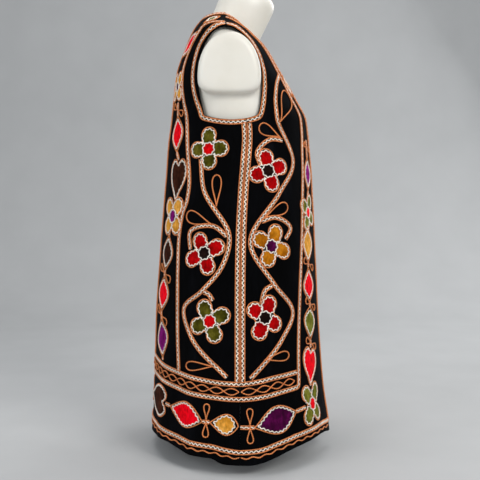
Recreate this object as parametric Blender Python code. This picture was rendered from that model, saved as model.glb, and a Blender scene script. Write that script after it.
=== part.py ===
"""Knee-length open-front velvet vest, set on a limbless dress form with a round stand.

Frame: metres, +Z up, origin at the centre of the stand's underside. The front
faces -Y and the wearer's right side faces -X.

The cloth is one developed wall. Every point of it is named by an angle psi
round the body and a height z:
    psi = 0 right side, 90 centre back, 180 left side, -90 or 270 centre front.
Panels, bands and flowers are all made from that same surface.
"""

import math

import bmesh
import bpy
import numpy as np
from mathutils import Vector
from mathutils.bvhtree import BVHTree

# ---------------------------------------------------------------- driving sizes
CLOTH = 0.0020            # velvet with its backing
SEAM_GAP = 0.0004         # between two pieces at a seam
BAND_WIDTH = 0.0094       # cord, zigzag braid and cord, side by side
BAND_THICK = 0.0016
BAND_LIFT = 0.0005        # least gap under a band
FLOWER_THICK = 0.0013
EDGE_MARGIN = 0.0040      # plain velvet outside the front edge band
ARM_MARGIN = 0.0008       # the same inside the armhole band, at the front
ARMHOLE_FLOOR = 0.6564    # height of the armhole's two lower corners
CORNER_FRONT = -17.2      # psi of the front lower corner of the armhole
CORNER_BACK = 26.8
SHOULDER_TOP = (-20.0, 0.8595)   # neck end of the shoulder seam, psi and z
SHOULDER_END = (-5.4, 0.8178)    # armhole end of it
BACK_NECK_Z = 0.8545
PANEL_ROWS = 14           # rows of facets from the hem to the armhole
FRONT_COLUMNS = 8         # facets from the front edge, or centre back, to the armhole corner
SIDE_COLUMNS = 3          # facets from that corner to the side seam
UPPER_ROWS_FRONT = 12
BACK_ROWS_TO_NECK = 8
BACK_ROWS_ROUND_NECK = 6

BASE_RADIUS, BASE_THICK = 0.130, 0.010
POLE_RADIUS = 0.0125
GAP = 0.0003

# Outer face of the cloth, one row a level.
RINGS = [
    # z, half_width, centre_y, depth_front, depth_back
    (0.0100, 0.2535, 0.000, 0.1865, 0.1825),
    (0.0210, 0.2520, 0.000, 0.1855, 0.1815),
    (0.1340, 0.2360, 0.000, 0.1690, 0.1745),
    (0.2690, 0.2160, 0.000, 0.1590, 0.1705),
    (0.4020, 0.1970, 0.000, 0.1530, 0.1615),
    (0.5320, 0.1780, 0.000, 0.1465, 0.1505),
    (0.6070, 0.1660, 0.003, 0.1435, 0.1420),
    (0.6510, 0.1590, 0.009, 0.1450, 0.1300),
    (0.6950, 0.1580, 0.016, 0.1310, 0.1180),
    (0.7470, 0.1620, 0.022, 0.1085, 0.1050),
    (0.7940, 0.1660, 0.028, 0.0850, 0.0820),
    (0.8190, 0.1650, 0.032, 0.0620, 0.0670),
    (0.8380, 0.1270, 0.037, 0.0480, 0.0520),
    (0.8545, 0.0920, 0.042, 0.0440, 0.0330),
    (0.8595, 0.0830, 0.043, 0.0430, 0.0250),
]
# The hem hangs lower at the sides than between them.
HEM = [
    # phi, z
    (-90, 0.0290), (-78, 0.0325), (-66, 0.0425), (-55, 0.0468), (-44, 0.0440),
    (-31, 0.0385), (-21, 0.0295), (-13, 0.0235), (-6, 0.0203), (0, 0.0205),
    (10, 0.0215), (19, 0.0305), (31, 0.0302), (40, 0.0330), (51, 0.0395),
    (65, 0.0368), (78, 0.0335), (90, 0.0320),
]
ARM_FLOOR = [
    # phi, z
    (-17.2, 0.6564), (-8.0, 0.6500), (2.8, 0.6475), (14.0, 0.6498), (26.8, 0.6564),
]
# Soft vertical folds of the skirt: height of the ridge at the hem, fading out at z_top.
FOLDS = [
    # psi, lean, half_angle, height, z_top
    (40, 10, 6.0, -0.0045, 0.36),
    (29, 6, 6.5, 0.0030, 0.42),
    (14, 0, 5.5, -0.0030, 0.30),
    (57, 4, 7.0, 0.0035, 0.30),
    (-22, -6, 6.0, -0.0025, 0.26),
    (-52, 6, 8.0, 0.0030, 0.30),
    (143, -8, 6.5, -0.0040, 0.38),
    (153, -4, 6.5, 0.0030, 0.40),
    (168, 0, 5.5, -0.0025, 0.28),
    (124, -4, 7.0, 0.0030, 0.32),
    (203, 6, 6.5, -0.0030, 0.28),
    (231, -6, 8.0, 0.0025, 0.30),
]
FRONT_GAP = [
    # z, half_gap between the two front edges, then the neckline
    (0.020, 0.042), (0.450, 0.036), (0.646, 0.035), (0.676, 0.037), (0.705, 0.044),
    (0.735, 0.055), (0.764, 0.066), (0.793, 0.074), (0.810, 0.077), (0.821, 0.078),
    (0.8375, 0.078), (0.8595, 0.078),
]
ARM_FRONT = [
    # phi, z from the corner up to the shoulder
    (-17.2, 0.6564), (-21.0, 0.6732), (-27.5, 0.7056), (-31.8, 0.7294), (-34.3, 0.7438),
    (-36.0, 0.7700), (-33.0, 0.7978), (-25.0, 0.8130), (-15.0, 0.8170), (-5.4, 0.8178),
]
ARM_BACK = [
    # phi, z from the corner up to the shoulder
    (26.8, 0.6564), (28.0, 0.6701), (30.6, 0.6910), (32.4, 0.7103), (33.0, 0.7296),
    (30.4, 0.7760), (24.6, 0.7959), (13.9, 0.8106), (4.0, 0.8160), (-5.4, 0.8178),
]
BACK_ARM_MARGIN = [
    # z, plain velvet inside the armhole band at the back
    (0.640, 0.0008), (0.660, 0.0008), (0.690, 0.0045), (0.730, 0.0085), (0.776, 0.0070),
    (0.800, 0.0040), (0.818, 0.0015),
]
SIDE_SEAM = [
    # z, phi
    (0.000, 0.0), (0.290, 0.0), (0.406, -0.4), (0.5215, -2.5), (0.637, -7.7), (0.660, -8.2),
]
FRONT_COLUMN = [
    # phi, z down the outer border of the front column
    (-13.5, 0.8455), (-33.0, 0.8385), (-50.5, 0.8190), (-55.0, 0.7950), (-57.7, 0.7635),
    (-59.4, 0.7300), (-60.6, 0.7000), (-61.4, 0.6722), (-60.2, 0.6329), (-58.2, 0.5937),
    (-53.8, 0.4967), (-49.7, 0.4014), (-45.6, 0.3077), (-42.3, 0.2153), (-40.5, 0.1420),
]
BACK_COLUMN = [
    # phi, z down the outer border of the back column
    (-8.0, 0.8280), (15.0, 0.8290), (33.0, 0.8240), (41.0, 0.8140), (51.1, 0.7894),
    (54.2, 0.7675), (55.6, 0.7450), (55.1, 0.7225), (50.8, 0.6891), (45.6, 0.6575),
    (43.7, 0.6266), (42.0, 0.5901), (40.1, 0.5539), (39.2, 0.5236), (40.4, 0.4960),
    (43.8, 0.4720), (45.6, 0.4440), (46.3, 0.4133), (45.5, 0.3643), (44.4, 0.3156),
    (43.4, 0.2521), (41.9, 0.1800),
]
BACK_INNER = [
    # z, distance from centre back
    (0.190, 0.049), (0.330, 0.045), (0.450, 0.042), (0.650, 0.038), (0.780, 0.040),
    (0.820, 0.044), (0.842, 0.047),
]
UPPER_LINE = [
    # phi, z
    (-42, 0.1760), (-37, 0.1753), (-22.5, 0.1722), (-11, 0.1672), (0, 0.1642),
    (12, 0.1650), (24, 0.1683), (42, 0.1735), (58, 0.1790), (74, 0.1846), (90, 0.1865),
]
LOWER_LINE = [
    # phi, z
    (-42, 0.1490), (-38.6, 0.1480), (-29, 0.1458), (-15, 0.1402), (0, 0.1372),
    (18, 0.1392), (34, 0.1420), (50, 0.1478), (72, 0.1530), (90, 0.1550),
]
HEM_LINE = [
    # phi, z
    (-90, 0.0500), (-76, 0.0560), (-56, 0.0645), (-36, 0.0612), (-22, 0.0530),
    (-10.6, 0.0455), (0, 0.0437), (9.4, 0.0470), (18, 0.0510), (33, 0.0528),
    (48, 0.0572), (62, 0.0598), (75, 0.0600), (90, 0.0595),
]
# Appliqué flowers: four round petals about a centre.
FLOWERS = [
    # name, phi, z, petal_angle (of the first petal, from straight up, towards the back), reach
    ("flower_back_top", 23.1, 0.5926, 2, 0.0365),
    ("flower_back_mid", 24.4, 0.3999, 24, 0.0365),
    ("flower_back_low", 19.1, 0.2757, 27, 0.0375),
    ("flower_front_top", -21.6, 0.5517, 8, 0.0360),
    ("flower_front_mid", -22.6, 0.4118, -24, 0.0365),
    ("flower_front_low", -17.1, 0.2826, -22, 0.0365),
    ("flower_corner", -56.0, 0.1085, 45, 0.0370),
]
PETAL_RADIUS = 0.0155
FLOWER_WAIST = 0.0175     # reach in the notch between two petals
PETAL_STEPS = (0, 26, 45, 64)   # degrees from one petal's tip to the next petal

# Dress form, below the shoulders.
FORM = [
    # z, half_width, centre_y, depth_front, depth_back
    (0.2320, 0.128, -0.002, 0.080, 0.092),
    (0.2520, 0.150, 0.000, 0.092, 0.106),
    (0.3060, 0.166, 0.000, 0.098, 0.116),
    (0.3660, 0.160, 0.000, 0.098, 0.110),
    (0.4160, 0.140, 0.000, 0.094, 0.096),
    (0.4610, 0.122, 0.000, 0.088, 0.086),
    (0.5260, 0.128, 0.002, 0.100, 0.094),
    (0.5760, 0.137, 0.003, 0.116, 0.108),
    (0.6160, 0.144, 0.004, 0.128, 0.120),
    (0.6560, 0.149, 0.008, 0.134, 0.119),
    (0.6960, 0.151, 0.015, 0.121, 0.109),
    (0.7450, 0.155, 0.022, 0.0985, 0.0965),
]
FORM_UPPER_Z = (0.772, 0.792, 0.804, 0.812, 0.820, 0.829, 0.838, 0.845, 0.850)
FORM_DROP, FORM_INSET = 0.0080, 0.0012
FORM_SHOULDER = 0.157
FORM_SIDES = 40
NECK = [
    # z, half_width, centre_y, half_depth
    (0.7800, 0.053, 0.0394, 0.0600),
    (0.8232, 0.053, 0.0183, 0.0605),
    (0.8500, 0.053, 0.0052, 0.0605),
    (0.8720, 0.053, -0.0055, 0.0605),
    (0.8860, 0.0525, -0.0103, 0.0590),
    (0.9000, 0.0490, -0.0101, 0.0526),
    (0.9120, 0.0420, -0.0092, 0.0440),
    (0.9210, 0.0310, -0.0082, 0.0320),
    (0.9260, 0.0170, -0.0076, 0.0175),
    (0.9275, 0.0060, -0.0075, 0.0062),
]
NECK_SIDES = 32
# Shoulder stump: how far out each section stands and how large it is.
STUMP_CENTRE = (0.0200, 0.7286)      # y, z
STUMP_RADII = (0.0605, 0.0842, 0.0340)   # y, z upward, z downward: an egg, its wide end low
STUMP_POWER_UP, STUMP_POWER_DOWN = 2.0, 3.6   # round above, flat below
STUMP = [
    # out, scale
    (0.110, 0.78), (0.138, 0.92), (0.150, 0.98), (0.158, 0.985), (0.1635, 0.950), (0.1670, 0.880),
    (0.1685, 0.780), (0.1692, 0.600), (0.1694, 0.300),
]
STUMP_SIDES = 32


# ---------------------------------------------------------------- the surface
def curve(rows, x_column, y_column):
    """A monotone cubic through two named columns of a table."""
    rows = sorted(rows, key=lambda row: row[x_column])
    xs = np.array([row[x_column] for row in rows], float)
    ys = np.array([row[y_column] for row in rows], float)
    step = np.diff(xs)
    rise = np.diff(ys) / step
    slope = np.zeros(len(xs))
    slope[0], slope[-1] = rise[0], rise[-1]
    for k in range(1, len(xs) - 1):
        if rise[k - 1] * rise[k] > 0:
            before, after = 2 * step[k] + step[k - 1], step[k] + 2 * step[k - 1]
            slope[k] = (before + after) / (before / rise[k - 1] + after / rise[k])

    def value(x):
        x = min(max(float(x), xs[0]), xs[-1])
        k = min(max(int(np.searchsorted(xs, x, side="right")) - 1, 0), len(xs) - 2)
        t = (x - xs[k]) / step[k]
        return float(
            (2 * t**3 - 3 * t**2 + 1) * ys[k]
            + (t**3 - 2 * t**2 + t) * step[k] * slope[k]
            + (-2 * t**3 + 3 * t**2) * ys[k + 1]
            + (t**3 - t**2) * step[k] * slope[k + 1]
        )

    return value


half_width = curve(RINGS, 0, 1)
centre_y = curve(RINGS, 0, 2)
depth_front = curve(RINGS, 0, 3)
depth_back = curve(RINGS, 0, 4)
hem_z = curve(HEM, 0, 1)
arm_floor_z = curve(ARM_FLOOR, 0, 1)
front_gap = curve(FRONT_GAP, 0, 1)
seam_phi = curve(SIDE_SEAM, 0, 1)
back_inner_x = curve(BACK_INNER, 0, 1)
back_arm_margin = curve(BACK_ARM_MARGIN, 0, 1)
upper_z = curve(UPPER_LINE, 0, 1)
lower_z = curve(LOWER_LINE, 0, 1)
hem_line_z = curve(HEM_LINE, 0, 1)


def phi_of(psi):
    """The same angle measured on either side: 0 at the side, 90 centre back."""
    return psi if psi <= 90 else 180 - psi


def fold(psi, z):
    out = 0.0
    for middle, lean, half_angle, height, z_top in FOLDS:
        if z < z_top:
            fade = (1 - z / z_top) ** 1.5
            off = (psi - middle - lean * z) / half_angle
            out += height * fade * math.exp(-off * off)
    return out


def surf(psi, z):
    """The outer face of the cloth at an angle and a height."""
    a = math.radians(psi)
    depth = depth_back(z) if math.sin(a) > 0 else depth_front(z)
    out = fold(psi, z)
    return Vector(
        (
            -(half_width(z) + out) * math.cos(a),
            centre_y(z) + (depth + out) * math.sin(a),
            z,
        )
    )


def partials(psi, z):
    along = (surf(psi + 0.05, z) - surf(psi - 0.05, z)) / 0.1
    low, high = max(z - 0.0004, 0.0105), min(z + 0.0004, 0.8594)
    up = (surf(psi, high) - surf(psi, low)) / (high - low)
    return along, up


def normal(psi, z):
    along, up = partials(psi, z)
    return up.cross(along).normalized()


def moved(psi, z, shift):
    """The angle and height reached by a small move along the surface."""
    along, up = partials(psi, z)
    aa, au, uu = along.dot(along), along.dot(up), up.dot(up)
    sa, su = shift.dot(along), shift.dot(up)
    det = aa * uu - au * au
    return psi + (sa * uu - su * au) / det, z + (su * aa - sa * au) / det


def on_x(distance, z, back):
    """The angle phi at which the surface is this far from the middle plane."""
    a = math.degrees(math.acos(min(1.0, distance / half_width(z))))
    return a if back else -a


def side_turn(distance, z, toward_back):
    """The change of angle for a distance along the cloth at the side."""
    if toward_back:
        return math.degrees(distance / depth_back(z))
    return -math.degrees(distance / depth_front(z))


def mirrored(points):
    return [(180 - psi, z) for psi, z in points]


def turn_at(points, k):
    """Unit directions into and out of point k of a path, on the surface."""
    here = surf(*points[k])
    before = (here - surf(*points[k - 1])).normalized() if k else None
    after = (surf(*points[k + 1]) - here).normalized() if k < len(points) - 1 else None
    return before or after, after or before


def sideways(points, k):
    """The direction across a path at point k, longer where it turns a corner."""
    n = normal(*points[k])
    t1, t2 = turn_at(points, k)
    b1, b2 = n.cross(t1).normalized(), n.cross(t2).normalized()
    mid = (b1 + b2).normalized()
    return mid / max(0.5, mid.dot(b1))


def offset(points, distance):
    """A path moved sideways on the surface; distance is a number or a function of z."""
    far = distance if callable(distance) else (lambda _: distance)
    return [
        moved(psi, z, sideways(points, k) * far(z))
        for k, (psi, z) in enumerate(points)
    ]


def length_of(points):
    spots = [surf(*p) for p in points]
    return [0.0] + list(np.cumsum([(b - a).length for a, b in zip(spots, spots[1:])]))


def resample(points, step):
    """A smooth path through the points, in equal steps along its length."""
    at = length_of(points)
    psi_at = curve([(s, p[0]) for s, p in zip(at, points)], 0, 1)
    z_at = curve([(s, p[1]) for s, p in zip(at, points)], 0, 1)
    fine = [(psi_at(s), z_at(s)) for s in np.linspace(0, at[-1], 120)]
    at = length_of(fine)
    count = max(2, round(at[-1] / step))
    places = np.linspace(0, at[-1], count + 1)
    psis = np.interp(places, at, [p[0] for p in fine])
    zs = np.interp(places, at, [p[1] for p in fine])
    return [(float(a), float(b)) for a, b in zip(psis, zs)]


def trimmed(points, start, end):
    """A path shortened by so much at its two ends."""
    at = length_of(points)
    places = [s for s in at if start + 0.003 < s < at[-1] - end - 0.003]
    places = [start, *places, at[-1] - end]
    psis = np.interp(places, at, [p[0] for p in points])
    zs = np.interp(places, at, [p[1] for p in points])
    return [(float(a), float(b)) for a, b in zip(psis, zs)]


# ---------------------------------------------------------------- materials
def material(name, colour, roughness, metallic=0.0, sheen=0.0):
    made = bpy.data.materials.new(name)
    made.use_nodes = True
    shader = made.node_tree.nodes["Principled BSDF"]
    shader.inputs["Base Color"].default_value = (*colour, 1)
    shader.inputs["Roughness"].default_value = roughness
    shader.inputs["Metallic"].default_value = metallic
    shader.inputs["Sheen Weight"].default_value = sheen
    made.diffuse_color = (*colour, 1)
    return made


def finish(obj, colour, roughness, metallic=0.0, sheen=0.0, smooth=False):
    obj.data.materials.clear()
    obj.data.materials.append(
        material(obj.name + "_finish", colour, roughness, metallic, sheen)
    )
    if smooth:
        obj.data.shade_smooth()
        obj.data.set_sharp_from_angle(angle=math.radians(38))
    return obj


def from_faces(name, points, faces):
    mesh = bpy.data.meshes.new(name)
    mesh.from_pydata([tuple(p) for p in points], [], faces)
    mesh.validate()
    obj = bpy.data.objects.new(name, mesh)
    bpy.context.scene.collection.objects.link(obj)
    return obj


# ---------------------------------------------------------------- cloth panels
def wall_from_grids(name, grids):
    """A closed wall over grids of (psi, z): an outer face, an inner one and its rim."""
    index, outer, inner, triangles = {}, [], [], []

    def vertex(psi, z):
        spot = surf(psi, z)
        key = tuple(round(c, 6) for c in spot)
        if key not in index:
            index[key] = len(outer)
            outer.append(spot)
            inner.append(spot - normal(psi, z) * CLOTH)
        return index[key]

    for grid in grids:
        ids = [[vertex(*p) for p in row] for row in grid]
        ways = [[normal(*p) for p in row] for row in grid]
        for j in range(len(ids) - 1):
            for i in range(len(ids[j]) - 1):
                a, b = ids[j][i], ids[j][i + 1]
                d, c = ids[j + 1][i], ids[j + 1][i + 1]
                for tri in ((a, b, c), (a, c, d)):
                    if len(set(tri)) < 3:
                        continue
                    p, q, r = (outer[k] for k in tri)
                    facing = (q - p).cross(r - p).dot(ways[j][i])
                    triangles.append(tri if facing > 0 else tri[::-1])
    count = len(outer)
    faces = list(triangles)
    faces += [tuple(k + count for k in tri[::-1]) for tri in triangles]
    edges = set()
    for a, b, c in triangles:
        edges.update(((a, b), (b, c), (c, a)))
    for a, b in sorted(edges):
        if (b, a) not in edges:
            faces += [(b, a, a + count), (b, a + count, b + count)]
    return from_faces(name, outer + inner, faces)


def lower_rows(edge_phi, corner, toward_back):
    """Rows from the hem to the armhole floor, from the inner edge to the side seam."""
    rows = []
    half_gap = SEAM_GAP / 2
    for j in range(PANEL_ROWS + 1):
        t = j / PANEL_ROWS
        level = 0.033 + t * (ARMHOLE_FLOOR - 0.033)
        shift = side_turn(half_gap, level, toward_back)
        inner, seam = edge_phi(level), seam_phi(level) + shift
        angles = [
            inner + (corner - inner) * i / FRONT_COLUMNS for i in range(FRONT_COLUMNS + 1)
        ]
        angles += [
            corner + (seam - corner) * i / SIDE_COLUMNS for i in range(1, SIDE_COLUMNS + 1)
        ]
        row = []
        for phi in angles:
            top = arm_floor_z(phi) if CORNER_FRONT < phi < CORNER_BACK else ARMHOLE_FLOOR
            bottom = hem_z(phi)
            row.append((phi, bottom + t * (top - bottom)))
        rows.append(row)
    return rows


def ruled(inner, outer):
    return [
        [
            (
                a[0] + (b[0] - a[0]) * i / FRONT_COLUMNS,
                a[1] + (b[1] - a[1]) * i / FRONT_COLUMNS,
            )
            for i in range(FRONT_COLUMNS + 1)
        ]
        for a, b in zip(inner, outer)
    ]


def even(points, count):
    """Exactly count + 1 points in equal steps along a smooth path."""
    fine = resample(points, length_of(points)[-1] / 160)
    at = length_of(fine)
    places = np.linspace(0, at[-1], count + 1)
    psis = np.interp(places, at, [p[0] for p in fine])
    zs = np.interp(places, at, [p[1] for p in fine])
    return [(float(a), float(b)) for a, b in zip(psis, zs)]


def seam_shift(z, sign):
    return sign * math.degrees(SEAM_GAP / 2 / max(0.03, depth_front(z)))


def front_edge(level):
    return on_x(front_gap(level), level, back=False)


def front_edge_path():
    """The front edge and neckline, from the armhole floor's height up to the shoulder."""
    zs = [ARMHOLE_FLOOR, 0.676, 0.705, 0.735, 0.764, 0.793, 0.810, 0.821, 0.831, 0.8395, 0.847]
    path = [(front_edge(z), z) for z in zs]
    return path + [(-31.5, 0.8535), (SHOULDER_TOP[0] + seam_shift(0.85, -1), SHOULDER_TOP[1])]


def armhole_path(rows, sign):
    path = list(rows)
    path[-1] = (path[-1][0] + seam_shift(0.82, sign), path[-1][1])
    return path


def back_neck_path():
    top = (SHOULDER_TOP[0] + seam_shift(0.85, 1), SHOULDER_TOP[1])
    return [
        (90, BACK_NECK_Z), (62, 0.8546), (38, 0.8552), (16, 0.8566), (-3, 0.8583), top
    ]


def front_grids():
    lower = lower_rows(front_edge, CORNER_FRONT, toward_back=False)
    inner = even(front_edge_path(), UPPER_ROWS_FRONT)
    outer = even(armhole_path(ARM_FRONT, -1), UPPER_ROWS_FRONT)
    return [lower, ruled(inner, outer)]


def back_grids():
    lower = lower_rows(lambda level: 90.0, CORNER_BACK, toward_back=True)
    centre = [
        (90.0, ARMHOLE_FLOOR + (BACK_NECK_Z - ARMHOLE_FLOOR) * k / BACK_ROWS_TO_NECK)
        for k in range(BACK_ROWS_TO_NECK)
    ]
    inner = centre + even(back_neck_path(), BACK_ROWS_ROUND_NECK)
    outer = even(armhole_path(ARM_BACK, 1), BACK_ROWS_TO_NECK + BACK_ROWS_ROUND_NECK)
    return [lower, ruled(inner, outer)]


def flipped(grids):
    return [[[(180 - psi, z) for psi, z in row] for row in grid] for grid in grids]


# ---------------------------------------------------------------- what lies on the panels
def tree_of(obj):
    mesh = obj.data
    return BVHTree.FromPolygons(
        [v.co.copy() for v in mesh.vertices],
        [tuple(p.vertices) for p in mesh.polygons],
    )


def height_on(tree, spot, way):
    """How far above spot, along way, the panel's outer face lies."""
    hit, _, _, far = tree.ray_cast(spot + way * 0.02, -way, 0.04)
    if hit is None:
        hit = tree.find_nearest(spot)[0]
        return (hit - spot).dot(way)
    return 0.02 - far


def lying(name, tree, places, triangles, thickness):
    """A closed patch that lies on a panel: its points are the panel's, moved out."""
    base = [surf(*p) for p in places]
    ways = [normal(*p) for p in places]
    lift = [height_on(tree, b, w) + BAND_LIFT for b, w in zip(base, ways)]
    weights = [
        (i / 4, j / 4, (4 - i - j) / 4) for i in range(5) for j in range(5 - i)
    ]
    for _ in range(4):
        under = [b + w * h for b, w, h in zip(base, ways, lift)]
        for tri in triangles:
            need = 0.0
            for wa, wb, wc in weights:
                spot = under[tri[0]] * wa + under[tri[1]] * wb + under[tri[2]] * wc
                way = (ways[tri[0]] * wa + ways[tri[1]] * wb + ways[tri[2]] * wc).normalized()
                need = max(need, BAND_LIFT + height_on(tree, spot, way))
            if need > 1e-5:
                for k in tri:
                    lift[k] = max(lift[k], (under[k] - base[k]).dot(ways[k]) + need)
    under = [b + w * h for b, w, h in zip(base, ways, lift)]
    over = [b + w * (h + thickness) for b, w, h in zip(base, ways, lift)]
    count = len(base)
    outward = []
    for tri in triangles:
        p, q, r = (over[k] for k in tri)
        facing = (q - p).cross(r - p).dot(ways[tri[0]])
        outward.append(tri if facing > 0 else tri[::-1])
    faces = [tuple(tri) for tri in outward]
    faces += [tuple(k + count for k in tri[::-1]) for tri in outward]
    edges = set()
    for a, b, c in outward:
        edges.update(((a, b), (b, c), (c, a)))
    for a, b in sorted(edges):
        if (b, a) not in edges:
            faces += [(b, a, a + count), (b, a + count, b + count)]
    return from_faces(name, over + under, faces)


def band(name, tree, points, colour=(0.55, 0.24, 0.11)):
    left, right = [], []
    for k, (psi, z) in enumerate(points):
        side = sideways(points, k) * (BAND_WIDTH / 2)
        left.append(moved(psi, z, side))
        right.append(moved(psi, z, -side))
    count = len(points)
    triangles = []
    for k in range(count - 1):
        triangles += [(k, k + 1, count + k + 1), (k, count + k + 1, count + k)]
    obj = lying(name, tree, left + right, triangles, BAND_THICK)
    return finish(obj, colour, 0.7)


def flower(name, tree, psi, z, angle, reach, mirror, colour):
    """Four round petals: a rim of sixteen points about one middle point."""
    along, up = partials(psi, z)
    along, up = along.normalized(), up.normalized()
    lobe = reach - PETAL_RADIUS
    places = [(psi, z)]
    for petal in range(4):
        for degrees in PETAL_STEPS:
            off = math.radians(min(degrees, 90 - degrees))
            inside = PETAL_RADIUS**2 - (lobe * math.sin(off)) ** 2
            radius = lobe * math.cos(off) + math.sqrt(max(0.0, inside))
            if inside < 0:
                radius = FLOWER_WAIST
            radius = max(radius, FLOWER_WAIST)
            turn = math.radians(angle + 90 * petal + degrees) * (-1 if mirror else 1)
            direction = (along * math.sin(turn) + up * math.cos(turn)) * radius
            middle = moved(psi, z, direction * 0.5)
            places.append(moved(*middle, direction * 0.5))
    rim = len(places) - 1
    triangles = [(0, 1 + k, 1 + (k + 1) % rim) for k in range(rim)]
    obj = lying(name, tree, places, triangles, FLOWER_THICK)
    return finish(obj, colour, 0.9, sheen=0.5)


# ---------------------------------------------------------------- form and stand
def ring_points(z, a, yc, bf, bb, sides):
    spots = []
    for k in range(sides):
        t = 2 * math.pi * k / sides
        spots.append((a * math.cos(t), yc + (bb if math.sin(t) > 0 else bf) * math.sin(t), z))
    return spots


def loft(name, rings):
    """A closed solid through rings of equal count, ordered upwards."""
    sides = len(rings[0])
    points = [p for ring in rings for p in ring]
    faces = [tuple(range(sides))[::-1]]
    for j in range(len(rings) - 1):
        for k in range(sides):
            a, b = j * sides + k, j * sides + (k + 1) % sides
            faces.append((a, b, b + sides, a + sides))
    last = (len(rings) - 1) * sides
    faces.append(tuple(range(last, last + sides)))
    return from_faces(name, points, faces)


def form_rings():
    rows = [(row[0], row[1], row[2], row[3], row[4]) for row in FORM]
    for z in FORM_UPPER_Z:
        high = min(z + FORM_DROP, 0.8590)
        rows.append(
            (
                z,
                min(half_width(high) - FORM_INSET, FORM_SHOULDER),
                centre_y(high),
                min(depth_front(high) - FORM_INSET, depth_front(z) - 0.009),
                min(depth_back(high) - FORM_INSET, depth_back(z) - 0.009)
                if z < 0.80
                else depth_back(high) - FORM_INSET,
            )
        )
    last = rows[-1]
    rows.append((0.8525, last[1] * 0.72, last[2], last[3] * 0.72, last[4] * 0.72))
    return [ring_points(*row, FORM_SIDES) for row in rows]


def stump(side):
    rings = []
    for out, scale in STUMP:
        ring = []
        for k in range(STUMP_SIDES):
            t = 2 * math.pi * k / STUMP_SIDES
            c, s = math.cos(t), math.sin(t)
            power = 2 / (STUMP_POWER_UP if s > 0 else STUMP_POWER_DOWN)
            y = math.copysign(abs(c) ** power, c) * STUMP_RADII[0] * scale
            z = math.copysign(abs(s) ** power, s) * STUMP_RADII[1 if s > 0 else 2] * scale
            ring.append((side * out, STUMP_CENTRE[0] + y, STUMP_CENTRE[1] + z))
        rings.append(ring if side > 0 else ring[::-1])
    return loft("stump_cutter_%s" % ("left" if side > 0 else "right"), rings)


def joined(body, others):
    for k, other in enumerate(others):
        union = body.modifiers.new("join_%d" % k, "BOOLEAN")
        union.operation = "UNION"
        union.solver = "EXACT"
        union.object = other
        other.hide_render = True
        other.display_type = "WIRE"
    return body


def turned(name, profile, sides):
    """A closed solid of revolution from (radius, z) rows, ordered upwards."""
    return loft(
        name,
        [ring_points(z, radius, 0.0, radius, radius, sides) for radius, z in profile],
    )


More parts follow.
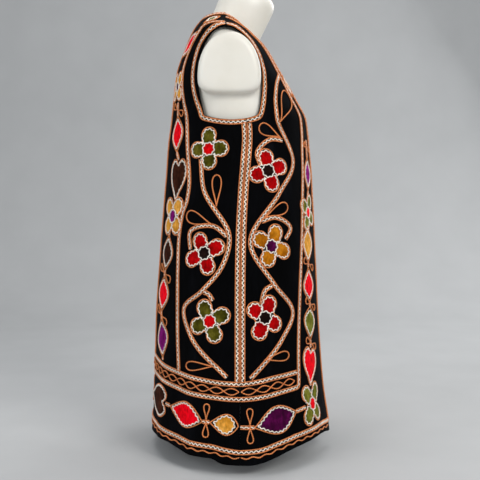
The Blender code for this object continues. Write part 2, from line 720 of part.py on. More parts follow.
# ---------------------------------------------------------------- build
def main():
    for obj in list(bpy.data.objects):
        bpy.data.objects.remove(obj, do_unlink=True)
    velvet = (0.012, 0.013, 0.018)
    front, back = front_grids(), back_grids()
    right = finish(wall_from_grids("front_right", front), velvet, 0.95, sheen=0.6, smooth=True)
    left = finish(wall_from_grids("front_left", flipped(front)), velvet, 0.95, sheen=0.6, smooth=True)
    rear = finish(
        wall_from_grids("back_panel", back + flipped(back)), velvet, 0.95, sheen=0.6, smooth=True
    )

    half = BAND_WIDTH / 2
    clear = half + 0.0005
    # front edge and neckline
    edge = [(front_edge(z), z) for z in np.linspace(0.040, 0.640, 9)] + front_edge_path()
    edge = offset(resample(edge, 0.012), EDGE_MARGIN + half)
    low_end = hem_line_z(edge[0][0]) - half
    edge = [p for p in edge if p[1] > low_end + 0.004]
    edge = [(edge[0][0], low_end), *edge]
    front_edge_band = trimmed(resample(edge, 0.028), 0.0, 0.0060)
    # column border
    column = resample(FRONT_COLUMN, 0.028)
    front_column = trimmed(column, 0.0025, 0.0)
    column_phi = curve([(p[1], p[0]) for p in column if p[1] < 0.6], 0, 1)
    # armhole
    rim = armhole_path(ARM_FRONT, -1)[::-1]
    seam_side = seam_phi(0.649) + side_turn(SEAM_GAP / 2, 0.649, False)
    upper_part = resample(rim, 0.015)
    floor_part = [
        (phi, arm_floor_z(phi)) for phi in np.linspace(CORNER_FRONT, seam_side, 3)
    ]
    front_arm = offset(upper_part + floor_part[1:], ARM_MARGIN + half)
    front_arm = trimmed(front_arm, 0.0025, 0.0010)
    # horizontals
    def line(z_of, start, end, step=0.025):
        return resample([(float(p), z_of(p)) for p in np.linspace(start, end, 14)], step)

    seam_off = side_turn(0.0010, 0.15, False)
    end_upper = column_phi(0.1755) + math.degrees((clear + 0.0008) / 0.195)
    end_lower = column_phi(0.1480) + math.degrees((clear + 0.0008) / 0.197)
    edge_phi_hem = edge[1][0]
    end_hem = edge_phi_hem + math.degrees((clear + 0.0008) / 0.235)
    front_upper = line(upper_z, seam_off, end_upper)
    front_lower = line(lower_z, seam_off, end_lower)
    front_hem = line(hem_line_z, seam_off, end_hem)
    # side band
    top_side = arm_floor_z(-8.0) - (ARM_MARGIN + BAND_WIDTH + 0.0012)
    low_side = upper_z(0) + clear + 0.0004
    beside = SEAM_GAP / 2 + 0.0005 + half

    def side_path(sign):
        return resample(
            [
                (seam_phi(z) + side_turn(beside, z, sign > 0), z)
                for z in np.linspace(top_side, low_side, 12)
            ],
            0.032,
        )

    for tag, tree, turn in (
        ("right", tree_of(right), lambda path: path),
        ("left", tree_of(left), mirrored),
    ):
        band("band_edge_" + tag, tree, turn(front_edge_band))
        band("band_front_column_" + tag, tree, turn(front_column))
        band("band_front_armhole_" + tag, tree, turn(front_arm))
        band("band_front_side_" + tag, tree, turn(side_path(-1)))
        band("band_front_upper_" + tag, tree, turn(front_upper))
        band("band_front_lower_" + tag, tree, turn(front_lower))
        band("band_front_hem_" + tag, tree, turn(front_hem))

    # back
    tree = tree_of(rear)
    outer_column = trimmed(resample(BACK_COLUMN, 0.026), 0.0025, 0.0)
    foot = upper_z(42) + clear + 0.0015
    outer_column = [p for p in outer_column if p[1] > foot + 0.006] + [
        (BACK_COLUMN[-1][0] + 0.1, foot)
    ]
    inner_column = resample(
        [
            (on_x(back_inner_x(z), z, back=True), z)
            for z in np.linspace(0.8395, upper_z(75) + clear + 0.0006, 24)
        ],
        0.028,
    )
    rim = armhole_path(ARM_BACK, 1)[::-1]
    seam_side = seam_phi(0.649) + side_turn(SEAM_GAP / 2, 0.649, True)
    back_upper_part = resample(rim, 0.015)
    back_floor_part = [
        (phi, arm_floor_z(phi)) for phi in np.linspace(CORNER_BACK, seam_side, 5)
    ]
    back_arm = offset(
        back_upper_part + back_floor_part[1:],
        lambda z: -(back_arm_margin(z) + half),
    )
    back_arm = trimmed(back_arm, 0.0025, 0.0010)
    for tag, turn in (("right", lambda path: path), ("left", mirrored)):
        band("band_back_column_outer_" + tag, tree, turn(outer_column))
        band("band_back_column_inner_" + tag, tree, turn(inner_column))
        band("band_back_armhole_" + tag, tree, turn(back_arm))
        band("band_back_side_" + tag, tree, turn(side_path(1)))

    def across(z_of, step):
        half_path = [(float(p), z_of(p)) for p in np.linspace(-seam_off, 90, 18)]
        return resample(half_path + mirrored(half_path[:-1])[::-1], step)

    band("band_back_upper", tree, across(upper_z, 0.026))
    band("band_back_lower", tree, across(lower_z, 0.026))
    band("band_back_hem", tree, across(hem_line_z, 0.026))
    neck = back_neck_path()
    neck = neck[::-1] + mirrored(neck[1:])
    neck = offset(resample(neck, 0.010), 0.0022 + half)
    band("band_back_neck", tree, trimmed(resample(neck, 0.014), 0.0065, 0.0065))

    # flowers
    red, olive, mustard = (0.55, 0.0, 0.01), (0.12, 0.13, 0.03), (0.62, 0.30, 0.05)
    colours = {
        "flower_back_top": olive, "flower_back_mid": red, "flower_back_low": olive,
        "flower_front_top": red, "flower_front_mid": mustard, "flower_front_low": red,
        "flower_corner": olive,
    }
    trees = {"right": tree_of(right), "left": tree_of(left)}
    for name, phi, z, angle, reach in FLOWERS:
        for tag in ("right", "left"):
            host = tree if "back" in name else trees[tag]
            psi = phi if tag == "right" else 180 - phi
            flower(f"{name}_{tag}", host, psi, z, angle, reach, tag == "left", colours[name])

    # form
    torso = loft("form_torso", form_rings())
    neck_solid = loft(
        "neck_cutter", [ring_points(z, a, yc, b, b, NECK_SIDES) for z, a, yc, b in NECK]
    )
    joined(torso, [neck_solid, stump(-1), stump(1)])
    white = (0.82, 0.80, 0.73)
    finish(torso, white, 0.42, smooth=True)

    steel = (0.45, 0.45, 0.46)
    socket = turned(
        "form_socket",
        [(0.0180, 0.2020), (0.0190, 0.2030), (0.0190, 0.2200), (0.0300, 0.2230),
         (0.0310, 0.2240), (0.0310, 0.2300), (0.0300, 0.2320 - GAP)],
        32,
    )
    finish(socket, steel, 0.35, metallic=1.0, smooth=True)
    pole = turned("stand_pole", [(POLE_RADIUS, 0.0290 + GAP), (POLE_RADIUS, 0.2020 - GAP)], 32)
    finish(pole, steel, 0.25, metallic=1.0, smooth=True)
    base = turned(
        "stand_base",
        [(BASE_RADIUS - 0.0012, 0.0), (BASE_RADIUS, 0.0012), (BASE_RADIUS, 0.0070),
         (BASE_RADIUS - 0.0030, BASE_THICK), (0.0260, BASE_THICK), (0.0220, 0.0120),
         (0.0200, 0.0275), (0.0185, 0.0290)],
        48,
    )
    finish(base, steel, 0.35, metallic=1.0, smooth=True)


main()
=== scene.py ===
"""Looks of the embroidered velvet vest on its dress form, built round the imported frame."""

import math

import bpy
import numpy as np
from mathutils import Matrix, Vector


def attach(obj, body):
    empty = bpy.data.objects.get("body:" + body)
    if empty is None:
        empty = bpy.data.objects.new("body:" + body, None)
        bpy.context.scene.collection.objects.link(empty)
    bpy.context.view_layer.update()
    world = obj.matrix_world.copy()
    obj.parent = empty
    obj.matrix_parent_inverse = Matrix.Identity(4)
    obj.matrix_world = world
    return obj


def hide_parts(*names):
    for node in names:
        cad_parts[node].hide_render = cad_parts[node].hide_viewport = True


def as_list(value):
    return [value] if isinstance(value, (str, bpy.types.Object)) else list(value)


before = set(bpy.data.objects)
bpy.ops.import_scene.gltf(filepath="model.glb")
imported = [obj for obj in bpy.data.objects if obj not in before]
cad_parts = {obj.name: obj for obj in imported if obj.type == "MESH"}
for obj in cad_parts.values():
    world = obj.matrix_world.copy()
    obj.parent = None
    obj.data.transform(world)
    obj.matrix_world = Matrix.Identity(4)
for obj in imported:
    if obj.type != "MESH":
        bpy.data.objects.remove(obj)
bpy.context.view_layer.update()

# ---------------------------------------------------------------- tables of the cloth
# Angles are in degrees: 0 right side, 90 centre back, 180 left side, -90 or 270 centre front.
# On the right the angle is called phi. Heights are metres above the floor.
RINGS = [
    # z, half_width, centre_y, depth_front, depth_back
    (0.0100, 0.2535, 0.000, 0.1865, 0.1825),
    (0.0210, 0.2520, 0.000, 0.1855, 0.1815),
    (0.1340, 0.2360, 0.000, 0.1690, 0.1745),
    (0.2690, 0.2160, 0.000, 0.1590, 0.1705),
    (0.4020, 0.1970, 0.000, 0.1530, 0.1615),
    (0.5320, 0.1780, 0.000, 0.1465, 0.1505),
    (0.6070, 0.1660, 0.003, 0.1435, 0.1420),
    (0.6510, 0.1590, 0.009, 0.1450, 0.1300),
    (0.6950, 0.1580, 0.016, 0.1310, 0.1180),
    (0.7470, 0.1620, 0.022, 0.1085, 0.1050),
    (0.7940, 0.1660, 0.028, 0.0850, 0.0820),
    (0.8190, 0.1650, 0.032, 0.0620, 0.0670),
    (0.8380, 0.1270, 0.037, 0.0480, 0.0520),
    (0.8545, 0.0920, 0.042, 0.0440, 0.0330),
    (0.8595, 0.0830, 0.043, 0.0430, 0.0250),
]
HEM = [
    # phi, z
    (-90, 0.0290), (-78, 0.0325), (-66, 0.0425), (-55, 0.0468), (-44, 0.0440),
    (-31, 0.0385), (-21, 0.0295), (-13, 0.0235), (-6, 0.0203), (0, 0.0205),
    (10, 0.0215), (19, 0.0305), (31, 0.0302), (40, 0.0330), (51, 0.0395),
    (65, 0.0368), (78, 0.0335), (90, 0.0320),
]
ARM_FLOOR = [
    # phi, z
    (-17.2, 0.6564), (-8.0, 0.6500), (2.8, 0.6475), (14.0, 0.6498), (26.8, 0.6564),
]
FOLDS = [
    # psi, lean, half_angle, height, z_top
    (40, 10, 6.0, -0.0045, 0.36), (29, 6, 6.5, 0.0030, 0.42), (14, 0, 5.5, -0.0030, 0.30),
    (57, 4, 7.0, 0.0035, 0.30), (-22, -6, 6.0, -0.0025, 0.26), (-52, 6, 8.0, 0.0030, 0.30),
    (143, -8, 6.5, -0.0040, 0.38), (153, -4, 6.5, 0.0030, 0.40), (168, 0, 5.5, -0.0025, 0.28),
    (124, -4, 7.0, 0.0030, 0.32), (203, 6, 6.5, -0.0030, 0.28), (231, -6, 8.0, 0.0025, 0.30),
]
# Finer troughs and swells than the solid model has.
SOFT_FOLDS = [
    # psi, lean, half_angle, height, z_top
    (4, 2, 2.6, -0.0010, 0.22), (21, 3, 2.4, 0.0010, 0.20), (34, 8, 2.2, -0.0012, 0.24),
    (66, -3, 2.6, -0.0011, 0.26), (79, 0, 2.4, 0.0010, 0.22), (96, 2, 2.8, -0.0010, 0.24),
    (111, -2, 2.3, 0.0009, 0.20), (134, -5, 2.6, -0.0012, 0.26), (160, 0, 2.4, -0.0009, 0.20),
    (176, 1, 2.5, 0.0008, 0.18), (190, 2, 2.5, -0.0009, 0.22), (216, 4, 2.5, 0.0010, 0.22),
    (242, -3, 2.4, -0.0010, 0.24), (-10, -2, 2.4, 0.0009, 0.18), (-34, -4, 2.6, -0.0011, 0.24),
    (-66, 3, 2.4, -0.0010, 0.24),
]
FRONT_GAP = [
    # z, half_gap
    (0.020, 0.042), (0.450, 0.036), (0.646, 0.035), (0.676, 0.037), (0.705, 0.044),
    (0.735, 0.055), (0.764, 0.066), (0.793, 0.074), (0.810, 0.077), (0.821, 0.078),
    (0.8375, 0.078), (0.8595, 0.078),
]
ARM_FRONT = [
    # phi, z
    (-17.2, 0.6564), (-21.0, 0.6732), (-27.5, 0.7056), (-31.8, 0.7294), (-34.3, 0.7438),
    (-36.0, 0.7700), (-33.0, 0.7978), (-25.0, 0.8130), (-15.0, 0.8170), (-5.4, 0.8178),
]
ARM_BACK = [
    # phi, z
    (26.8, 0.6564), (28.0, 0.6701), (30.6, 0.6910), (32.4, 0.7103), (33.0, 0.7296),
    (30.4, 0.7760), (24.6, 0.7959), (13.9, 0.8106), (4.0, 0.8160), (-5.4, 0.8178),
]
BACK_ARM_MARGIN = [
    # z, margin
    (0.640, 0.0008), (0.660, 0.0008), (0.690, 0.0045), (0.730, 0.0085), (0.776, 0.0070),
    (0.800, 0.0040), (0.818, 0.0015),
]
SIDE_SEAM = [
    # z, phi
    (0.000, 0.0), (0.290, 0.0), (0.406, -0.4), (0.5215, -2.5), (0.637, -7.7), (0.660, -8.2),
]
FRONT_COLUMN = [
    # phi, z
    (-13.5, 0.8455), (-33.0, 0.8385), (-50.5, 0.8190), (-55.0, 0.7950), (-57.7, 0.7635),
    (-59.4, 0.7300), (-60.6, 0.7000), (-61.4, 0.6722), (-60.2, 0.6329), (-58.2, 0.5937),
    (-53.8, 0.4967), (-49.7, 0.4014), (-45.6, 0.3077), (-42.3, 0.2153), (-40.5, 0.1420),
]
BACK_COLUMN = [
    # phi, z
    (-8.0, 0.8280), (15.0, 0.8290), (33.0, 0.8240), (41.0, 0.8140), (51.1, 0.7894),
    (54.2, 0.7675), (55.6, 0.7450), (55.1, 0.7225), (50.8, 0.6891), (45.6, 0.6575),
    (43.7, 0.6266), (42.0, 0.5901), (40.1, 0.5539), (39.2, 0.5236), (40.4, 0.4960),
    (43.8, 0.4720), (45.6, 0.4440), (46.3, 0.4133), (45.5, 0.3643), (44.4, 0.3156),
    (43.4, 0.2521), (41.9, 0.1800),
]
BACK_INNER = [
    # z, distance from centre back
    (0.190, 0.049), (0.330, 0.045), (0.450, 0.042), (0.650, 0.038), (0.780, 0.040),
    (0.820, 0.044), (0.842, 0.047),
]
UPPER_LINE = [
    # phi, z
    (-42, 0.1760), (-37, 0.1753), (-22.5, 0.1722), (-11, 0.1672), (0, 0.1642),
    (12, 0.1650), (24, 0.1683), (42, 0.1735), (58, 0.1790), (74, 0.1846), (90, 0.1865),
]
LOWER_LINE = [
    # phi, z
    (-42, 0.1490), (-38.6, 0.1480), (-29, 0.1458), (-15, 0.1402), (0, 0.1372),
    (18, 0.1392), (34, 0.1420), (50, 0.1478), (72, 0.1530), (90, 0.1550),
]
HEM_LINE = [
    # phi, z
    (-90, 0.0500), (-76, 0.0560), (-56, 0.0645), (-36, 0.0612), (-22, 0.0530),
    (-10.6, 0.0455), (0, 0.0437), (9.4, 0.0470), (18, 0.0510), (33, 0.0528),
    (48, 0.0572), (62, 0.0598), (75, 0.0600), (90, 0.0595),
]
CLOTH = 0.0019
SEAM_GAP = 0.00006
BAND_WIDTH = 0.0094
EDGE_MARGIN = 0.0040
ARM_MARGIN = 0.0008
ARMHOLE_FLOOR = 0.6564
CORNER_FRONT, CORNER_BACK = -17.2, 26.8
SHOULDER_TOP = (-20.0, 0.8595)
BACK_NECK_Z = 0.8545

# Sewn trim
CORD = 0.00118            # radius of a couched cord
STRAND = 0.00345          # from the middle of a band to the middle of its cord
BRAID_SWING = 0.00175     # how far the zigzag braid swings
BRAID_HALF = 0.00108
BRAID_THICK = 0.00135
BRAID_PERIOD = 0.0088


# ---------------------------------------------------------------- the surface
def curve(rows, x_column, y_column):
    rows = sorted(rows, key=lambda row: row[x_column])
    xs = np.array([row[x_column] for row in rows], float)
    ys = np.array([row[y_column] for row in rows], float)
    step = np.diff(xs)
    rise = np.diff(ys) / step
    slope = np.zeros(len(xs))
    slope[0], slope[-1] = rise[0], rise[-1]
    for k in range(1, len(xs) - 1):
        if rise[k - 1] * rise[k] > 0:
            before, after = 2 * step[k] + step[k - 1], step[k] + 2 * step[k - 1]
            slope[k] = (before + after) / (before / rise[k - 1] + after / rise[k])

    def value(x):
        x = np.clip(np.asarray(x, float), xs[0], xs[-1])
        k = np.clip(np.searchsorted(xs, x, side="right") - 1, 0, len(xs) - 2)
        t = (x - xs[k]) / step[k]
        return (
            (2 * t**3 - 3 * t**2 + 1) * ys[k]
            + (t**3 - 2 * t**2 + t) * step[k] * slope[k]
            + (-2 * t**3 + 3 * t**2) * ys[k + 1]
            + (t**3 - t**2) * step[k] * slope[k + 1]
        )

    return value


half_width = curve(RINGS, 0, 1)
centre_y = curve(RINGS, 0, 2)
depth_front = curve(RINGS, 0, 3)
depth_back = curve(RINGS, 0, 4)
hem_z = curve(HEM, 0, 1)
arm_floor_z = curve(ARM_FLOOR, 0, 1)
front_gap = curve(FRONT_GAP, 0, 1)
seam_phi = curve(SIDE_SEAM, 0, 1)
back_inner_x = curve(BACK_INNER, 0, 1)
back_arm_margin = curve(BACK_ARM_MARGIN, 0, 1)
upper_z = curve(UPPER_LINE, 0, 1)
lower_z = curve(LOWER_LINE, 0, 1)
hem_line_z = curve(HEM_LINE, 0, 1)


def rise_of(psi, z):
    """How far folds lift the cloth from its even form."""
    out = np.zeros(np.broadcast(psi, z).shape)
    for middle, lean, half_angle, height, z_top in FOLDS + SOFT_FOLDS:
        fade = np.clip(1 - z / z_top, 0, None) ** 1.5
        off = (psi - middle - lean * z) / half_angle
        out = out + height * fade * np.exp(-off * off)
    calm = np.clip(1 - np.abs(z - 0.40) / 0.40, 0, 1)
    out = out + 0.00035 * calm * np.sin(psi * 0.19 + z * 17.0) * np.sin(z * 33.0 + psi * 0.07)
    return out


def surf(psi, z):
    psi, z = np.asarray(psi, float), np.asarray(z, float)
    a = np.radians(psi)
    depth = np.where(np.sin(a) > 0, depth_back(z), depth_front(z))
    out = rise_of(psi, z)
    return np.stack(
        [
            -(half_width(z) + out) * np.cos(a),
            centre_y(z) + (depth + out) * np.sin(a),
            z + 0 * psi,
        ],
        -1,
    )


def partials(psi, z):
    psi, z = np.asarray(psi, float), np.asarray(z, float)
    along = (surf(psi + 0.05, z) - surf(psi - 0.05, z)) / 0.1
    low, high = np.maximum(z - 0.0004, 0.0105), np.minimum(z + 0.0004, 0.8594)
    up = (surf(psi, high) - surf(psi, low)) / (high - low)[..., None]
    return along, up


def unit(v):
    return v / np.maximum(np.linalg.norm(v, axis=-1, keepdims=True), 1e-12)


def normal(psi, z):
    along, up = partials(psi, z)
    return unit(np.cross(up, along))


def moved(psi, z, shift):
    along, up = partials(psi, z)
    aa, au, uu = (along * along).sum(-1), (along * up).sum(-1), (up * up).sum(-1)
    sa, su = (shift * along).sum(-1), (shift * up).sum(-1)
    det = aa * uu - au * au
    return psi + (sa * uu - su * au) / det, z + (su * aa - sa * au) / det


def on_x(distance, z, back):
    a = np.degrees(np.arccos(np.minimum(1.0, distance / half_width(z))))
    return a if back else -a


def side_turn(distance, z, toward_back):
    if toward_back:
        return np.degrees(distance / depth_back(z))
    return -np.degrees(distance / depth_front(z))


def mirror(path):
    return np.stack([180 - path[:, 0], path[:, 1]], -1)


def run_of(path):
    spots = surf(path[:, 0], path[:, 1])
    return np.concatenate([[0.0], np.cumsum(np.linalg.norm(np.diff(spots, axis=0), axis=1))])


def equal_steps(path, step):
    at = run_of(path)
    count = max(3, int(round(at[-1] / step)))
    places = np.linspace(0, at[-1], count + 1)
    return np.stack(
        [np.interp(places, at, path[:, 0]), np.interp(places, at, path[:, 1])], -1
    )


def even(points, count):
    """count + 1 points in equal steps along a monotone path through the points."""
    points = np.array(points, float)
    at = run_of(points)
    keep = np.concatenate([[True], np.diff(at) > 1e-9])
    points, at = points[keep], at[keep]
    psi_at = curve(list(zip(at, points[:, 0])), 0, 1)
    z_at = curve(list(zip(at, points[:, 1])), 0, 1)
    s = np.linspace(0, at[-1], 600)
    fine = np.stack([psi_at(s), z_at(s)], -1)
    at = run_of(fine)
    places = np.linspace(0, at[-1], count + 1)
    return np.stack(
        [np.interp(places, at, fine[:, 0]), np.interp(places, at, fine[:, 1])], -1
    )


def path_through(points, step=0.0025):
    points = np.array(points, float)
    length = run_of(points)[-1]
    return even(points, max(3, int(round(length / step))))


def spline(points, step=0.0022, closed=False):
    """A rounded path through the points."""
    p = np.array(points, float)
    if closed:
        p = np.concatenate([p[-2:], p, p[:3]])
    spots = surf(p[:, 0], p[:, 1])
    gap = np.maximum(np.linalg.norm(np.diff(spots, axis=0), axis=1), 1e-6) ** 0.75
    t = np.concatenate([[0.0], np.cumsum(gap)])
    d = np.diff(p, axis=0) / gap[:, None]
    m = np.empty_like(p)
    m[0], m[-1] = d[0], d[-1]
    m[1:-1] = (d[1:] * gap[:-1, None] + d[:-1] * gap[1:, None]) / (gap[1:] + gap[:-1])[:, None]
    first, last = (2, len(p) - 2) if closed else (0, len(p) - 1)
    u = np.linspace(t[first], t[last], 40 * (last - first) + 1)
    k = np.clip(np.searchsorted(t, u, side="right") - 1, 0, len(t) - 2)
    h = gap[k][:, None]
    f = ((u - t[k]) / gap[k])[:, None]
    fine = (
        (2 * f**3 - 3 * f**2 + 1) * p[k] + (f**3 - 2 * f**2 + f) * h * m[k]
        + (-2 * f**3 + 3 * f**2) * p[k + 1] + (f**3 - f**2) * h * m[k + 1]
    )
    path = equal_steps(fine, step)
    return path[:-1] if closed else path


def rounded(path, radius=0.004):
    """Corners of a path softened, its ends kept."""
    path = equal_steps(path, 0.0015)
    width = max(1, int(round(radius / 0.0015)))
    for _ in range(2):
        padded = np.concatenate([np.repeat(path[:1], width, 0), path, np.repeat(path[-1:], width, 0)])
        sums = np.cumsum(np.concatenate([np.zeros((1, 2)), padded]), axis=0)
        size = 2 * width + 1
        soft = (sums[size:] - sums[:-size]) / size
        soft[0], soft[-1] = path[0], path[-1]
        path = soft
    return equal_steps(path, 0.0024)


def trimmed(path, start, end, step=0.0024):
    at = run_of(path)
    count = max(3, int(round((at[-1] - start - end) / step)))
    places = np.linspace(start, at[-1] - end, count + 1)
    return np.stack(
        [np.interp(places, at, path[:, 0]), np.interp(places, at, path[:, 1])], -1
    )


def offset(path, distance):
    """A path moved sideways on the cloth, longer where it turns a corner."""
    spots = surf(path[:, 0], path[:, 1])
    n = normal(path[:, 0], path[:, 1])
    step = unit(np.diff(spots, axis=0))
    before = np.concatenate([step[:1], step])
    after = np.concatenate([step, step[-1:]])
    b1, b2 = unit(np.cross(n, before)), unit(np.cross(n, after))
    mid = unit(b1 + b2)
    far = distance(path[:, 1]) if callable(distance) else distance
    reach = far / np.maximum(0.5, (mid * b1).sum(-1))
    psi, z = moved(path[:, 0], path[:, 1], mid * np.reshape(reach, (-1, 1)))
    return np.stack([psi, z], -1)


def spread(centre, uv):
    """Points at small distances (towards the back, up) from a place on the right half."""
    uv = np.asarray(uv, float)
    psi = np.full(len(uv), float(centre[0]))
    z = np.full(len(uv), float(centre[1]))
    along, up = partials(psi, z)
    along = unit(along)
    up = unit(up - along * (up * along).sum(-1, keepdims=True))
    way = along * uv[:, :1] + up * uv[:, 1:]
    for _ in range(4):
        psi, z = moved(psi, z, way / 4)
        z = np.clip(z, 0.0106, 0.8590)
    return np.stack([psi, z], -1)


# ---------------------------------------------------------------- meshes
class Heap:
    """Vertices and faces gathered for one piece."""

    def __init__(self):
        self.points, self.faces, self.uvs, self.slots, self.count = [], [], [], [], 0

    def add(self, points, faces, uvs=None, slot=0):
        points = np.asarray(points, float)
        self.points.append(points)
        self.uvs.append(np.zeros((len(points), 2)) if uvs is None else np.asarray(uvs, float))
        for group in faces:
            group = np.asarray(group, int)
            if len(group):
                self.faces.append(group + self.count)
                self.slots.append(np.full(len(group), slot))
        self.count += len(points)

    def made(self, name, materials, smooth=True):
        points = np.concatenate(self.points)
        uvs = np.concatenate(self.uvs)
        sizes = np.concatenate([np.full(len(f), f.shape[1]) for f in self.faces])
        loops = np.concatenate([f.ravel() for f in self.faces])
        slots = np.concatenate(self.slots)
        mesh = bpy.data.meshes.new(name)
        mesh.vertices.add(len(points))
        mesh.vertices.foreach_set("co", points.astype(np.float32).ravel())
        mesh.loops.add(len(loops))
        mesh.loops.foreach_set("vertex_index", loops.astype(np.int32))
        mesh.polygons.add(len(sizes))
        starts = np.concatenate([[0], np.cumsum(sizes)[:-1]])
        mesh.polygons.foreach_set("loop_start", starts.astype(np.int32))
        mesh.polygons.foreach_set("material_index", slots.astype(np.int32))
        layer = mesh.uv_layers.new(name="UVMap")
        layer.data.foreach_set("uv", uvs[loops].astype(np.float32).ravel())
        mesh.update(calc_edges=True)
        mesh.validate()
        for material in materials:
            mesh.materials.append(material)
        if smooth:
            mesh.shade_smooth()
            mesh.set_sharp_from_angle(angle=math.radians(50))
        obj = bpy.data.objects.new(name, mesh)
        bpy.context.scene.collection.objects.link(obj)
        return obj


def frames_of(path, closed):
    p = surf(path[:, 0], path[:, 1])
    n = normal(path[:, 0], path[:, 1])
    if closed:
        t = np.roll(p, -1, 0) - np.roll(p, 1, 0)
        s = np.concatenate([[0.0], np.cumsum(np.linalg.norm(np.roll(p, -1, 0) - p, axis=1))])
    else:
        t = np.gradient(p, axis=0)
        s = np.concatenate([[0.0], np.cumsum(np.linalg.norm(np.diff(p, axis=0), axis=1))])
    t = unit(t - n * (t * n).sum(-1, keepdims=True))
    return p, n, np.cross(n, t), s


def skin(rings, closed, heap, along, slot=0):
    """Quads over rings of points (count, sides, 3), with end caps where the run is open."""
    count, sides = rings.shape[:2]
    index = np.arange(count * sides).reshape(count, sides)
    if closed:
        a = index
        d = np.roll(index, -1, 0)
    else:
        a, d = index[:-1], index[1:]
    b, c = np.roll(a, -1, 1), np.roll(d, -1, 1)
    quads = np.stack([a, d, c, b], -1).reshape(-1, 4)
    groups = [quads]
    if not closed:
        groups += [index[:1], index[-1:, ::-1]]
    uvs = np.stack(
        [
            np.repeat(along[:count], sides),
            np.tile(np.arange(sides) / sides, count),
        ],
        -1,
    )
    heap.add(rings.reshape(-1, 3), groups, uvs, slot)


LENGTHS = {"cord": 0.0, "braid": 0.0}


def cord(heap, path, side=0.0, lift=0.0, closed=False, radius=CORD, sides=6, slot=0):
    p, n, b, s = frames_of(path, closed)
    lift = np.reshape(lift, (-1, 1)) if np.ndim(lift) else lift
    centre = p + b * np.reshape(side, (-1, 1)) + n * (radius * 0.86 + lift)
    angles = -math.pi / 2 + 2 * math.pi * np.arange(sides) / sides
    across = np.cos(angles) * radius
    high = np.sin(angles) * radius * 0.95
    rings = centre[:, None] + b[:, None] * across[None, :, None] + n[:, None] * high[None, :, None]
    if not closed:
        for end, toward in ((0, 1), (-1, -2)):
            rings[end] = centre[end] + (rings[end] - centre[end]) * 0.62
    LENGTHS["cord"] += s[-1]
    skin(rings, closed, heap, s, slot)


def braid(heap, path, side=0.0, lift=0.0004, closed=False, swing=BRAID_SWING, slot=0):
    """A flat zigzag braid laid along a path."""
    p, n, b, s = frames_of(path, closed)
    if closed:
        p, n, b = (np.concatenate([x, x[:1]]) for x in (p, n, b))
    total = s[-1]
    waves = max(1, int(round(total / BRAID_PERIOD)))
    count = waves * 8
    at = np.linspace(0, total, count + 1)
    if closed:
        at = at[:-1]

    def mixed(x):
        return np.stack([np.interp(at, s, x[:, k]) for k in range(3)], -1)

    p, n, b = mixed(p), unit(mixed(n)), unit(mixed(b))
    turn = 2 * np.pi * waves * at / total
    swung = swing * (np.sin(turn) - np.sin(3 * turn) / 12) / 1.06
    centre = p + b * (side + swung)[:, None] + n * lift
    if closed:
        t = np.roll(centre, -1, 0) - np.roll(centre, 1, 0)
    else:
        t = np.gradient(centre, axis=0)
    t = unit(t - n * (t * n).sum(-1, keepdims=True))
    w = np.cross(n, t)
    profile = [(-1.0, 0.0), (1.0, 0.0), (0.68, 1.0), (-0.68, 1.0)]
    rings = np.stack(
        [centre + w * (x * BRAID_HALF) + n * (y * BRAID_THICK) for x, y in profile], 1
    )
    LENGTHS["braid"] += total
    skin(rings, closed, heap, at, slot)


def band(cords, braids, path, closed=False, lift=0.0, strand=STRAND, swing=BRAID_SWING):
    cord(cords, path, strand, lift, closed)
    cord(cords, path, -strand, lift, closed)
    braid(braids, path, 0.0, 0.0003 + lift, closed, swing)


def patch(heap, centre, outline, turn, slot=0, height=0.0013, middle=(0.0, 0.0)):
    """A raised cloth patch within an outline of small distances from centre."""
    outline = np.asarray(outline, float)
    middle = np.asarray(middle, float)
    scales = [1.0, 0.985, 0.93, 0.80, 0.60, 0.38, 0.18]
    highs = [0.00015, 0.00075, 0.0011, 0.0013, 0.00145, 0.0015, 0.0015]
    uv = np.concatenate([middle + (outline - middle) * k for k in scales] + [middle[None]])
    places = turn(spread(centre, uv))
    p = surf(places[:, 0], places[:, 1])
    n = normal(places[:, 0], places[:, 1])
    count = len(outline)
    rise = np.concatenate([np.repeat(np.array(highs) * height / 0.0013, count), [highs[-1] * height / 0.0013]])
    top = p + n * rise[:, None]
    under = p[:count] + n[:count] * 0.00005
    under_mid = p[-1:] + n[-1:] * 0.00005
    points = np.concatenate([top, under, under_mid])
    rows = len(scales)
    index = np.arange(rows * count).reshape(rows, count)
    a, d = index[:-1], index[1:]
    quads = np.stack([a, np.roll(a, -1, 1), np.roll(d, -1, 1), d], -1).reshape(-1, 4)
    mid = rows * count
    last = index[-1]
    fan = np.stack([last, np.roll(last, -1), np.full(count, mid)], -1)
    low = mid + 1 + np.arange(count)
    rim = np.stack([low, np.roll(low, -1), np.roll(index[0], -1), index[0]], -1)
    floor = np.stack([np.roll(low, -1), low, np.full(count, mid + 1 + count)], -1)
    tri = fan[0]
    facing = np.dot(
        np.cross(points[tri[1]] - points[tri[0]], points[tri[2]] - points[tri[0]]), n[-1]
    )
    groups = [quads, fan, rim, floor]
    if facing < 0:
        groups = [g[:, ::-1] for g in groups]
    heap.add(points, groups, np.concatenate([uv, uv[:count], uv[-1:]]) * 10, slot)


